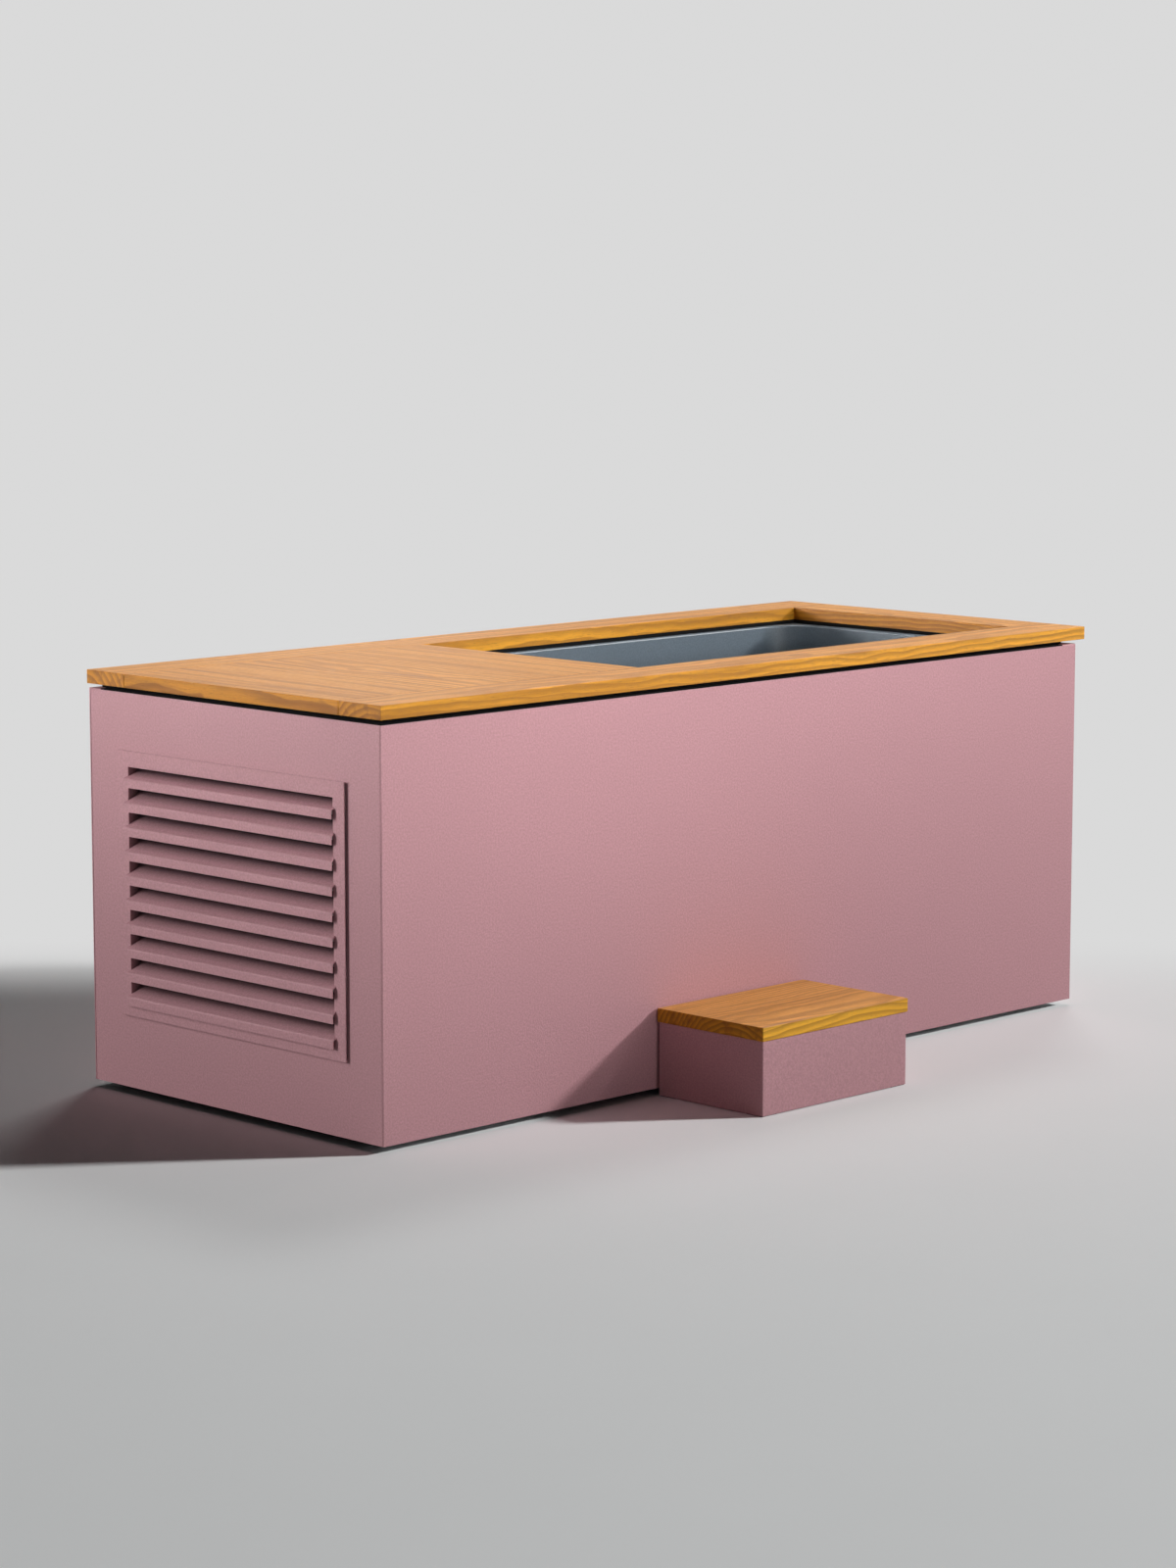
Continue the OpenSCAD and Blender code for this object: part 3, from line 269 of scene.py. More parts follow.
    def bump(self, height: object, depth: float, strength: float) -> bpy.types.NodeSocket:
        """Normal from a height.

        Args:
            height: value between 0 and 1.
            depth: real height of the relief, in metres.
            strength: share of the effect.

        Returns:
            The bent normal.
        """
        node = self.tree.nodes.new("ShaderNodeBump")
        node.inputs["Strength"].default_value = strength
        node.inputs["Distance"].default_value = depth
        self._feed(node.inputs["Height"], height)
        return node.outputs[0]


def shade(colour: Colour, factor: float) -> Colour:
    """The colour made lighter or darker."""
    return tuple(min(1.0, part * factor) for part in colour)


# Finishes


@dataclass(frozen=True)
class Finish:
    """A surface finish.

    Args:
        name: the material's name.
        slot: name of the material slot; not used.
    """

    name: str
    slot: str

    def paint(self, graph: NodeGraph) -> None:
        """Adds the finish's nodes to a graph."""
        raise NotImplementedError

    def material(self) -> bpy.types.Material:
        """The material, made once."""
        known = bpy.data.materials.get(self.name)
        if known:
            return known
        graph = NodeGraph(self.name)
        self.paint(graph)
        LOG.info("material %s", self.name)
        return graph.material


@dataclass(frozen=True)
class PowderCoat(Finish):
    """Textured powder coat with a fine sandy speckle.

    Args:
        colour: its colour.
        grain: speckles per metre.
        finer: how many times finer the second grain is.
        speckle: tones of the dark and the light speckles.
        speckle_span: noise values between which one turns into the other.
        clouds: large soft patches per metre.
        cloud_tone: tone of the patches.
        cloud_share: how much of that tone they take.
        painted_shade_tone: factor on the colour where the painted shade is deepest.
        matt: roughness in the hollows and on the speckles.
        gloss: strength of its reflections.
        relief: height of the grain, in metres.
        relief_share: strength of that relief.
        coarse_share: how much of the relief comes from the coarser grain.
        painted_shade_span: places on X between which the colour darkens into painted shade, or
            nothing.
    """

    colour: Colour = (0.50, 0.258, 0.284)
    grain: float = 250.0
    finer: float = 2.6
    speckle: Range = (0.91, 1.12)
    speckle_span: Range = (0.34, 0.66)
    clouds: float = 5.0
    cloud_tone: float = 0.95
    cloud_share: float = 0.25
    painted_shade_tone: float = 0.05
    matt: Range = (0.62, 0.48)
    gloss: float = 0.35
    relief: float = 0.8 * MM
    relief_share: float = 0.6
    coarse_share: float = 0.7
    painted_shade_span: Range | None = None

    def paint(self, graph: NodeGraph) -> None:
        """Speckled colour over a sandy relief, with painted shade deeper along X where a span is
        given.
        """
        sand = graph.noise(self.grain, Detail.RICH, GRITTY)
        fine = graph.noise(self.grain * self.finer, Detail.FINE)
        cloud = graph.fit(graph.noise(self.clouds), MOST_NOISE, (0.0, self.cloud_share))
        low, high = (shade(self.colour, tone) for tone in self.speckle)
        tone = graph.blend(graph.fit(sand, self.speckle_span), low, high)
        tone = graph.blend(cloud, tone, shade(self.colour, self.cloud_tone))
        # Painted shade: deeper inside along X the colour darkens towards near black, standing in
        # for the shade between the louvre blades.
        if self.painted_shade_span:
            inwards = graph.fit(graph.split(graph.place)[0], self.painted_shade_span)
            tone = graph.blend(inwards, tone, shade(self.colour, self.painted_shade_tone))
        height = graph.math(Op.ADD, graph.math(Op.MULTIPLY, sand, self.coarse_share),
                            graph.math(Op.MULTIPLY, fine, 1.0 - self.coarse_share))
        graph.set(Base_Color=tone, Roughness=graph.fit(sand, MOST_NOISE, self.matt),
                  Specular_IOR_Level=self.gloss,
                  Normal=graph.bump(height, self.relief, self.relief_share))


@dataclass(frozen=True)
class WoodMark:
    """One kind of mark in the wood, a noise drawn out along the fibres.

    Args:
        along: marks per metre along the fibres.
        across: marks per metre across them.
        detail: number of finer layers.
        rough: strength of the finer layers.
        span: noise values between which a mark sets in.
        share: how much of its tone a mark takes at most.
        tone: factor on the late wood's colour, or a colour of its own.
    """

    along: float
    across: float
    detail: Detail
    rough: float
    span: Range
    share: float
    tone: float | Colour

    def draw(self, graph: NodeGraph, log: tuple[object, ...]) -> bpy.types.NodeSocket:
        """The mark's noise, from the coordinates of the log."""
        source = drawn_out(graph, log, self.along, self.across)
        return graph.noise(1.0, self.detail, self.rough, source)

    def colour(self, dark: Colour) -> Colour:
        """The mark's colour beside that of the late wood."""
        return self.tone if isinstance(self.tone, tuple) else shade(dark, self.tone)


def drawn_out(graph: NodeGraph, log: tuple[object, ...], along: float,
              across: float) -> bpy.types.NodeSocket:
    """Coordinates of a log, scaled along and across its fibres."""
    return graph.join(*(graph.math(Op.MULTIPLY, part, scale)
                        for part, scale in zip(log, (along, across, across))))


FIBRE = WoodMark(along=26.0, across=900.0, detail=Detail.RICH, rough=GRITTY,
                 span=(0.3, 0.72), share=0.26, tone=0.85)
PATCH = WoodMark(along=1.6, across=12.0, detail=Detail.RICH, rough=EVEN,
                 span=(0.38, 0.68), share=0.32, tone=1.12)
STREAK = WoodMark(along=1.1, across=46.0, detail=Detail.RICH, rough=GRITTY,
                  span=(0.50, 0.66), share=0.72, tone=0.92)
STAIN = WoodMark(along=2.6, across=34.0, detail=Detail.FINE, rough=EVEN,
                 span=(0.68, 0.78), share=0.55, tone=(0.30, 0.12, 0.07))
PORE = WoodMark(along=70.0, across=1500.0, detail=Detail.PLAIN, rough=EVEN,
                span=(0.66, 0.74), share=0.35, tone=0.45)


@dataclass(frozen=True)
class OiledWood(Finish):
    """Oiled board cut from one log, with its rings, fibres and pores.

    Args:
        grain: direction of the fibres.
        pith: where the log's heart lies on the two other axes, in metres.
        ring: width of a growth ring, in metres.
        seed: shift that makes each board its own.
        stave: width of the glued staves across the grain, or 0 for one board.
        stave_shift: how far apart along the log the staves are cut, in metres.
        stave_turn: angle that tells the staves' hearts apart.
        light: colour of the early wood.
        dark: colour of the late wood.
        early: factor on the early wood's colour.
        edge: painted shade of the upright faces, a deeper and more golden tone than the tops,
            standing in for how the light falls on them.
        end: painted shade of the faces across the object, a darker tone.
        relief: extra contrast of the late wood on the upright faces.
        relief_tone: tone of that contrast.
        upright: upward parts of the normal between which a face stops being upright.
        ending: sideways parts of the normal between which a face becomes an end.
        bow: bends of the log per metre, along and across.
        sway: how far they move its heart, in metres.
        ripple: ripples of the rings per metre, along and across.
        ripple_depth: their depth, in metres.
        growth: part of a ring over which early wood turns into late wood.
        winter: part over which the late wood ends.
        years: strengths of the faintest and the plainest rings.
        matt: roughness between and on the fibres.
        gloss: strength of its reflections.
        fibre_height: share of the fibres in the relief.
        pore_span: noise values between which a pore gets its depth.
        pore_depth: share of the pores in the relief.
        depth: height of the relief, in metres.
        depth_share: strength of that relief.
    """

    grain: Axis = Axis.X
    pith: Spot = (0.0, 0.0)
    ring: float = 6 * MM
    seed: float = 0.0
    stave: float = 0.0
    stave_shift: float = 7.31
    stave_turn: float = 5.1
    light: Colour = (0.78, 0.350, 0.074)
    dark: Colour = (0.42, 0.160, 0.026)
    early: float = 1.07
    edge: Colour = (1.02, 1.05, 0.32)
    end: Colour = (0.72, 0.62, 0.35)
    relief: float = 0.35
    relief_tone: float = 0.62
    upright: Range = (0.3, 0.8)
    ending: Range = (0.6, 0.9)
    bow: Range = (2.2, 3.0)
    sway: float = 60 * MM
    ripple: Range = (11.0, 26.0)
    ripple_depth: float = 10 * MM
    growth: Range = (0.15, 0.9)
    winter: Range = (0.93, 1.0)
    years: Range = (0.35, 1.0)
    matt: Range = (0.40, 0.55)
    gloss: float = 0.28
    fibre_height: float = 0.6
    pore_span: Range = (0.62, 0.74)
    pore_depth: float = 0.8
    depth: float = 0.3 * MM
    depth_share: float = 0.5

    def paint(self, graph: NodeGraph) -> None:
        """Rings of a solid log, warped along the grain, with fibres and pores."""
        parts = graph.split(graph.place)
        across, up = (parts[i] for i in self.grain.others)
        board: object = self.seed
        if self.stave:
            wide = across if self.grain is not Axis.Y else up
            index = graph.math(Op.FLOOR, graph.math(Op.DIVIDE, wide, self.stave))
            board = graph.math(Op.MULTIPLY_ADD, index, self.stave_shift, self.seed)
        log = (graph.math(Op.ADD, parts[self.grain.value], board), across, up)
        late = self._late_wood(graph, log, board)
        tone = graph.blend(late, shade(self.light, self.early), self.dark)
        marks = {}
        for mark in (FIBRE, PATCH, STREAK, STAIN, PORE):
            marks[mark] = mark.draw(graph, log)
            tone = graph.blend(graph.fit(marks[mark], mark.span, (0.0, mark.share)), tone,
                               mark.colour(self.dark))
        tone = self._paint_face_shade(graph, tone, late)
        height = graph.math(Op.SUBTRACT,
                            graph.math(Op.MULTIPLY, marks[FIBRE], self.fibre_height),
                            graph.fit(marks[PORE], self.pore_span, (0.0, self.pore_depth)))
        graph.set(Base_Color=tone, Roughness=graph.fit(marks[FIBRE], MOST_NOISE, self.matt),
                  Specular_IOR_Level=self.gloss,
                  Normal=graph.bump(height, self.depth, self.depth_share))

    def _late_wood(self, graph: NodeGraph, log: tuple[object, ...],
                   board: object) -> bpy.types.NodeSocket:
        """Share of late wood at each place.

        Args:
            graph: the material's nodes.
            log: coordinates along the fibres and across them.
            board: number that tells the boards and staves apart.

        Returns:
            0 in the early wood to 1 in the late wood.
        """
        bends = graph.split(graph.noise(1.0, source=drawn_out(graph, log, *self.bow),
                                        colour=True))
        side, rise = (graph.math(
            Op.SUBTRACT, graph.math(Op.MULTIPLY_ADD, bend, self.sway, part),
            heart + self.sway / 2) for bend, part, heart in zip(bends, log[1:], self.pith))
        if self.stave:
            turn = graph.math(Op.SINE, graph.math(Op.MULTIPLY, board, self.stave_turn))
            side = graph.math(Op.ADD, side, graph.math(Op.MULTIPLY, turn, self.sway))
        wave = graph.noise(1.0, Detail.FINE, source=drawn_out(graph, log, *self.ripple))
        radius = graph.math(Op.MULTIPLY_ADD, wave, self.ripple_depth,
                            graph.length(graph.join(side, rise, 0.0)))
        turns = graph.math(Op.DIVIDE, radius, self.ring)
        phase = graph.math(Op.FRACTION, turns)
        late = graph.math(Op.MULTIPLY, graph.fit(phase, self.growth, smooth=True),
                          graph.fit(phase, self.winter, (1.0, 0.0), smooth=True))
        year = graph.noise(1.0, Detail.PLAIN,
                           source=graph.join(graph.math(Op.FLOOR, turns), 0.0, 0.0))
        return graph.math(Op.MULTIPLY, late, graph.fit(year, MOST_NOISE, self.years))

    def _paint_face_shade(self, graph: NodeGraph, tone: object, late: object) -> bpy.types.NodeSocket:
        """Paints shade by facing: a deeper tone on the upright faces and the ends.

        Args:
            graph: the material's nodes.
            tone: colour so far.
            late: share of late wood.

        Returns:
            The colour with its painted face shade.
        """
        turned = graph.split(graph.normal)
        facing = graph.math(Op.ABSOLUTE, turned[2])
        sideways = graph.math(Op.ABSOLUTE, turned[0])
        # Painted shade by facing: the upright faces take a deeper tone here, and the faces across
        # the object a darker one below.
        tone = graph.blend(graph.fit(facing, self.upright, (1.0, 0.0)), tone, self.edge,
                           Blend.MULTIPLY)
        contour = graph.fit(facing, self.upright, (self.relief, 0.0))
        tone = graph.blend(graph.math(Op.MULTIPLY, contour, late), tone,
                           shade(self.dark, self.relief_tone))
        return graph.blend(graph.fit(sideways, self.ending), tone, self.end, Blend.MULTIPLY)


@dataclass(frozen=True)
class Laminate(Finish):
    """Satin moulded basin surface with a fine speckle.

    Args:
        colour: its colour.
        grain: speckles per metre.
        speckle: tones of the dark and the light speckles.
        speckle_span: noise values between which one turns into the other.
        clouds: large soft patches per metre.
        cloud_tone: tone of the patches.
        cloud_share: how much of that tone they take.
        satin: roughness between and on the speckles.
        waves: unevenness of the moulding, per metre.
        relief: its depth, in metres.
        relief_share: strength of that relief.
    """

    colour: Colour = (0.110, 0.142, 0.172)
    grain: float = 420.0
    speckle: Range = (0.86, 1.16)
    speckle_span: Range = (0.35, 0.68)
    clouds: float = 6.0
    cloud_tone: float = 0.9
    cloud_share: float = 0.3
    satin: Range = (0.34, 0.44)
    waves: float = 90.0
    relief: float = 0.4 * MM
    relief_share: float = 0.25

    def paint(self, graph: NodeGraph) -> None:
        """Light and dark grains over a barely uneven surface."""
        grain = graph.noise(self.grain, Detail.FINE)
        cloud = graph.fit(graph.noise(self.clouds), MOST_NOISE, (0.0, self.cloud_share))
        low, high = (shade(self.colour, tone) for tone in self.speckle)
        tone = graph.blend(graph.fit(grain, self.speckle_span), low, high)
        tone = graph.blend(cloud, tone, shade(self.colour, self.cloud_tone))
        graph.set(Base_Color=tone, Roughness=graph.fit(grain, MOST_NOISE, self.satin),
                  Normal=graph.bump(graph.noise(self.waves), self.relief, self.relief_share))


@dataclass(frozen=True)
class Moulded(Finish):
    """Moulded plastic, rubber or foam with an even fine relief.

    Args:
        colour: base colour.
        rough: mean roughness.
        grain: features per metre of the relief.
        relief: its depth in metres.
        spread: share by which the colour varies.
        gloss: strength of its reflections.
        wear: worn patches per metre.
        wear_span: sums of grain and wear between which the colour turns.
        wear_gloss: how far the roughness varies with the wear.
        smoothest: roughness that it never falls below.
        relief_share: strength of the relief.
    """

    colour: Colour = (0.02, 0.02, 0.022)
    rough: float = 0.5
    grain: float = 700.0
    relief: float = 0.2 * MM
    spread: float = 0.12
    gloss: float = 0.5
    wear: float = 14.0
    wear_span: Range = (0.7, 1.3)
    wear_gloss: float = 0.07
    smoothest: float = 0.05
    relief_share: float = 0.4

    def paint(self, graph: NodeGraph) -> None:
        """Slightly varied colour and gloss over a moulded grain."""
        fine = graph.noise(self.grain, Detail.RICH, GRITTY)
        wear = graph.noise(self.wear, Detail.FULL, GRITTY)
        tone = graph.blend(graph.fit(graph.math(Op.ADD, fine, wear), self.wear_span),
                           shade(self.colour, 1.0 - self.spread),
                           shade(self.colour, 1.0 + self.spread))
        matt = (max(self.smoothest, self.rough - self.wear_gloss),
                min(1.0, self.rough + self.wear_gloss))
        graph.set(Base_Color=tone, Specular_IOR_Level=self.gloss,
                  Normal=graph.bump(fine, self.relief, self.relief_share),
                  Roughness=graph.fit(wear, MOST_NOISE, matt))


@dataclass(frozen=True)
class Metal(Finish):
    """Bare or plated metal.

    Args:
        colour: reflected colour.
        rough: mean roughness.
        spangle: size of the zinc crystals as features per metre, or 0.
        brushed: axis of the brush marks, or nothing.
        brush: brush marks per metre along and across them.
        marks: faint marks per metre where it is neither plated nor brushed.
        mark_span: values between which a mark turns from dark to light.
        mark_tones: tones of the dark and the light marks.
        dulled: dull patches per metre.
        dull_span: noise values between which they set in.
        dull_share: how much of their tone they take.
        dull_tone: their tone.
        matt: how far the roughness falls and rises with the marks.
        matt_span: sums of marks and patches between which it does.
        smoothest: roughness that it never falls below.
        relief: depth of the marks, in metres.
        relief_share: strength of that relief.
    """

    colour: Colour = (0.6, 0.61, 0.62)
    rough: float = 0.35
    spangle: float = 0.0
    brushed: Axis | None = None
    brush: Range = (20.0, 1400.0)
    marks: float = 60.0
    mark_span: Range = (0.2, 0.8)
    mark_tones: Range = (0.84, 1.1)
    dulled: float = 9.0
    dull_span: Range = (0.45, 0.8)
    dull_share: float = 0.35
    dull_tone: float = 0.7
    matt: Range = (0.08, 0.1)
    matt_span: Range = (0.6, 1.4)
    smoothest: float = 0.08
    relief: float = 0.1 * MM
    relief_share: float = 0.3

    def paint(self, graph: NodeGraph) -> None:
        """Crystals or brush marks that vary the colour and the gloss."""
        mark = self._mark(graph)
        dull = graph.noise(self.dulled, Detail.FULL, GRITTY)
        low, high = (shade(self.colour, tone) for tone in self.mark_tones)
        tone = graph.blend(graph.fit(mark, self.mark_span), low, high)
        tone = graph.blend(graph.fit(dull, self.dull_span, (0.0, self.dull_share)), tone,
                           shade(self.colour, self.dull_tone))
        matt = (max(self.smoothest, self.rough - self.matt[0]), self.rough + self.matt[1])
        graph.set(Base_Color=tone, Metallic=1.0,
                  Normal=graph.bump(mark, self.relief, self.relief_share),
                  Roughness=graph.fit(graph.math(Op.ADD, mark, dull), self.matt_span, matt))

    def _mark(self, graph: NodeGraph) -> bpy.types.NodeSocket:
        """The pattern of its crystals, brush marks or faint marks."""
        if self.brushed:
            along, across = self.brush
            scale = [along if axis is self.brushed else across for axis in Axis]
            return graph.noise(1.0, Detail.RICH, GRITTY, graph.stretch(tuple(scale)))
        if self.spangle:
            return graph.cells(self.spangle)
        return graph.noise(self.marks, Detail.FULL, GRITTY)


@dataclass(frozen=True)
class Fins(Finish):
    """Stack of slender aluminium fins, seen as fine upright lines with painted shade between them.

    Args:
        pitch: distance between two fins, in metres.
        edge_span: places in half a pitch between which gap turns into fin.
        gap: painted shade between the fins, a near-black colour.
        fin: colour of the fins.
        dust: colour of the dust on them.
        dusty: dusty patches per metre.
        dust_span: noise values between which the dust sets in.
        dust_share: how much of the colour it covers.
        metallic: share of bare metal.
        matt: roughness of the clean and the dusty fins.
        relief: depth of the gaps as shaded, in metres.
        relief_share: strength of that relief.
    """

    pitch: float = 2.1 * MM
    edge_span: Range = (0.12, 0.3)
    gap: Colour = (0.03, 0.03, 0.032)
    fin: Colour = (0.62, 0.63, 0.64)
    dust: Colour = (0.3, 0.29, 0.27)
    dusty: float = 30.0
    dust_span: Range = (0.5, 0.8)
    dust_share: float = 0.5
    metallic: float = 0.85
    matt: Range = (0.3, 0.5)
    relief: float = 0.6 * MM
    relief_share: float = 0.8

    def paint(self, graph: NodeGraph) -> None:
        """Bright fin edges with painted shade in the gaps between them."""
        across = graph.split(graph.place)[Axis.Y.value]
        phase = graph.math(Op.FRACTION, graph.math(Op.DIVIDE, across, self.pitch))
        edge = graph.fit(graph.math(Op.PINGPONG, phase, 0.5), self.edge_span, smooth=True)
        dust = graph.noise(self.dusty, Detail.FULL, GRITTY)
        # Painted shade: near-black stripes between the fin edges stand in for the shade deep
        # between the fins.
        tone = graph.blend(edge, self.gap, self.fin)
        tone = graph.blend(graph.fit(dust, self.dust_span, (0.0, self.dust_share)), tone,
                           self.dust)
        graph.set(Base_Color=tone, Metallic=self.metallic,
                  Roughness=graph.fit(dust, MOST_NOISE, self.matt),
                  Normal=graph.bump(edge, self.relief, self.relief_share))


OAK_FRONT = OiledWood("oak_front_rail", "oiled_wood", pith=(-0.40, 0.70), ring=13 * MM, seed=3.1)
OAK_BACK = OiledWood("oak_back_rail", "oiled_wood", pith=(0.44, 0.72), ring=13 * MM, seed=11.7)
OAK_END = OiledWood("oak_end_rail", "oiled_wood", Axis.Y, pith=(0.72, 0.93), ring=10 * MM,
                    seed=23.9)
OAK_DECK = OiledWood("oak_deck", "oiled_wood", Axis.Y, pith=(0.66, -0.62), ring=12 * MM,
                     seed=5.3, stave=126 * MM)
OAK_BATTENS = OiledWood("oak_battens", "oiled_wood", pith=(0.1, 0.6), ring=6 * MM, seed=2.4)
OAK_TREAD = OiledWood("oak_tread", "oiled_wood", pith=(-0.64, 0.05), ring=11 * MM, seed=41.3,
                      light=(0.90, 0.45, 0.096), dark=(0.50, 0.210, 0.030))
PINK = PowderCoat("powder_coat_pink", "powder_coat")
# Louvre paint with painted shade that darkens deeper inside the grille.
PINK_VENT_SHADED = PowderCoat("powder_coat_vent_shaded", "powder_coat", painted_shade_span=(-1.006, -0.979))
BASIN_SKIN = Laminate("basin_laminate_slate", "basin_laminate")
BLACK = Moulded("plastic_black", "black_plastic", (0.012, 0.012, 0.013), rough=0.55)
SEAL = Moulded("seal_black", "black_plastic", (0.006, 0.006, 0.006), rough=0.9, grain=500.0,
               gloss=0.08)
RUBBER = Moulded("rubber_black", "black_rubber", (0.018, 0.017, 0.017), rough=0.8, grain=500.0)
FOAM = Moulded("foam_cream", "rigid_foam", (0.72, 0.66, 0.46), rough=0.9, grain=260.0,
               relief=1.2 * MM)
ENAMEL = Moulded("enamel_black", "black_enamel", (0.016, 0.017, 0.019), rough=0.28, grain=300.0,
                 relief=0.1 * MM)
FAN_PLASTIC = Moulded("plastic_fan", "fan_plastic", (0.045, 0.047, 0.05), rough=0.45)
WRAP = Moulded("wrap_exchanger", "exchanger_wrap", (0.03, 0.03, 0.032), rough=0.85, grain=420.0,
               relief=0.8 * MM)
PUMP_PLASTIC = Moulded("plastic_pump", "pump_plastic", (0.05, 0.055, 0.06), rough=0.42)
MEDIA = Moulded("filter_media_white", "filter_media", (0.8, 0.82, 0.85), rough=0.9, grain=900.0)
PIPE = Moulded("plastic_pipe", "pipe_plastic", (0.62, 0.63, 0.62), rough=0.4, grain=300.0,
               relief=0.1 * MM)
FITTING = Moulded("plastic_fitting", "fitting_plastic", (0.42, 0.44, 0.46), rough=0.32,
                  grain=600.0, relief=0.1 * MM)
RED = Moulded("plastic_red", "red_plastic", (0.45, 0.03, 0.025), rough=0.38)
GREY = Moulded("plastic_grey", "grey_plastic", (0.33, 0.34, 0.35), rough=0.5)
SHEATH = Moulded("sheath_cable", "cable_sheath", (0.02, 0.02, 0.021), rough=0.55)
ZINC = Metal("steel_galvanised", "galvanised_steel", (0.50, 0.51, 0.52), rough=0.42,
             spangle=90.0)
STAINLESS = Metal("steel_stainless", "stainless_steel", (0.56, 0.56, 0.55), rough=0.26,
                  brushed=Axis.X)
COPPER = Metal("copper_tube", "copper", (0.62, 0.29, 0.17), rough=0.3)
BRASS = Metal("brass_valve", "valve_brass", (0.6, 0.45, 0.18), rough=0.3)
FINS = Fins("aluminium_fins", "finned_aluminium")


# Mesh builders


CORNER_STEPS = 4
FOLD_STEPS = 5
TURN_STEPS = 48
BEVEL_ROUNDNESS = 0.6
WELD = 1e-6


def quarter(steps: int) -> list[float]:
    """Angles over a quarter turn, in radians."""
    return [math.radians(QUARTER * i / steps) for i in range(steps + 1)]


def arc(centre: Spot, radius: float, start: float, end: float, steps: int) -> list[Spot]:
    """Points of an arc in a plane, angles in degrees."""
    return [(centre[0] + radius * math.cos(math.radians(start + (end - start) * i / steps)),
             centre[1] + radius * math.sin(math.radians(start + (end - start) * i / steps)))
            for i in range(steps + 1)]


def round_rect(low: Spot, high: Spot, radius: float, steps: int) -> list[Spot]:
    """Outline of a rectangle with rounded corners, anticlockwise."""
    (x0, y0), (x1, y1) = low, high
    centres = ((x1 - radius, y0 + radius), (x1 - radius, y1 - radius),
               (x0 + radius, y1 - radius), (x0 + radius, y0 + radius))
    points: list[Spot] = []
    for number, centre in enumerate(centres):
        start = QUARTER * (number - 1)
        points += arc(centre, radius, start, start + QUARTER, steps)
    return points


@dataclass
class Solid:
    """Mesh under construction in the row frame, in metres."""

    bm: bmesh.types.BMesh = field(default_factory=bmesh.new)

    def _place(self, axis: Axis, first: float, second: float, along: float) -> Vector:
        """Point from two cross coordinates and one along the axis."""
        point = Vector((0.0, 0.0, 0.0))
        point[axis.others[0]], point[axis.others[1]] = first, second
        point[axis.value] = along
        return point

    def block(self, low: Point, high: Point) -> "Solid":
        """Adds a box between two corners."""
        outline = [(low[0], low[1]), (high[0], low[1]), (high[0], high[1]), (low[0], high[1])]
        return self.prism(outline, Axis.Z, low[2], high[2])

    def prism(self, outline: list[Spot], axis: Axis, start: float, end: float) -> "Solid":
        """Adds an outline extruded along an axis.

        Args:
            outline: points on the two other axes, in cyclic order.
            axis: direction of the extrusion.
            start: where it starts, in metres.
            end: where it ends.

        Returns:
            The solid itself.
        """
        return self.loft([[self._place(axis, a, b, at) for a, b in outline]
                          for at in (start, end)])

    def loft(self, rings: list[list[Vector]], loop: bool = False) -> "Solid":
        """Adds a skin over rings of points.

        Args:
            rings: rings with the same number of points each.
            loop: joins the last ring to the first; without it the two ends are closed.

        Returns:
            The solid itself.
        """
        rows = [[self.bm.verts.new(point) for point in ring] for ring in rings]
        count = len(rows[0])
        pairs = list(zip(rows, rows[1:])) + ([(rows[-1], rows[0])] if loop else [])
        for low, high in pairs:
            for i in range(count):
                j = (i + 1) % count
                self.bm.faces.new((low[i], low[j], high[j], high[i]))
        if not loop:
            self.bm.faces.new(rows[0][::-1])
            self.bm.faces.new(rows[-1])
        return self

    def lathe(self, profile: list[Spot], axis: Axis, centre: Spot,
              steps: int = TURN_STEPS) -> "Solid":
        """Adds a profile turned round an axis.

        Args:
            profile: (place along the axis, radius) pairs.
            axis: axis of the turn.
            centre: its place on the two other axes.
            steps: segments of the turn.

        Returns:
            The solid itself.
        """
        turns = [2 * math.pi * i / steps for i in range(steps)]
        return self.loft([[self._place(axis, centre[0] + radius * math.cos(turn),
                                       centre[1] + radius * math.sin(turn), along)
                           for turn in turns] for along, radius in profile])

    def bevel(self, width: float, segments: int, least: float = 30.0) -> "Solid":
        """Rounds every edge that is sharper than an angle in degrees.

        Args:
            width: width of the rounding, in metres.
            segments: number of strips in it.
            least: angle between the faces from which an edge is rounded.

        Returns:
            The solid itself.
        """
        bmesh.ops.recalc_face_normals(self.bm, faces=self.bm.faces)
        edges = [e for e in self.bm.edges if len(e.link_faces) == 2
                 and e.calc_face_angle(0.0) > math.radians(least)]
        bmesh.ops.bevel(self.bm, geom=edges, offset=width, segments=segments,
                        profile=BEVEL_ROUNDNESS, affect="EDGES", clamp_overlap=True)
        return self

    def piece(self, name: str, finish: Finish, body: Body = Body.TUB,
              nodes: tuple[str, ...] = ()) -> bpy.types.Object:
        """Turns the mesh into a named piece of the model.

        Args:
            name: name of the piece.
            finish: its finish.
            body: CAD body that it rides on.
            nodes: CAD nodes that it stands for.

        Returns:
            The object.
        """
        bmesh.ops.remove_doubles(self.bm, verts=self.bm.verts, dist=WELD)
        bmesh.ops.recalc_face_normals(self.bm, faces=self.bm.faces)
        mesh = bpy.data.meshes.new(name)
        self.bm.to_mesh(mesh)
        self.bm.free()
        return dress_mesh(name, mesh, finish, body, nodes)


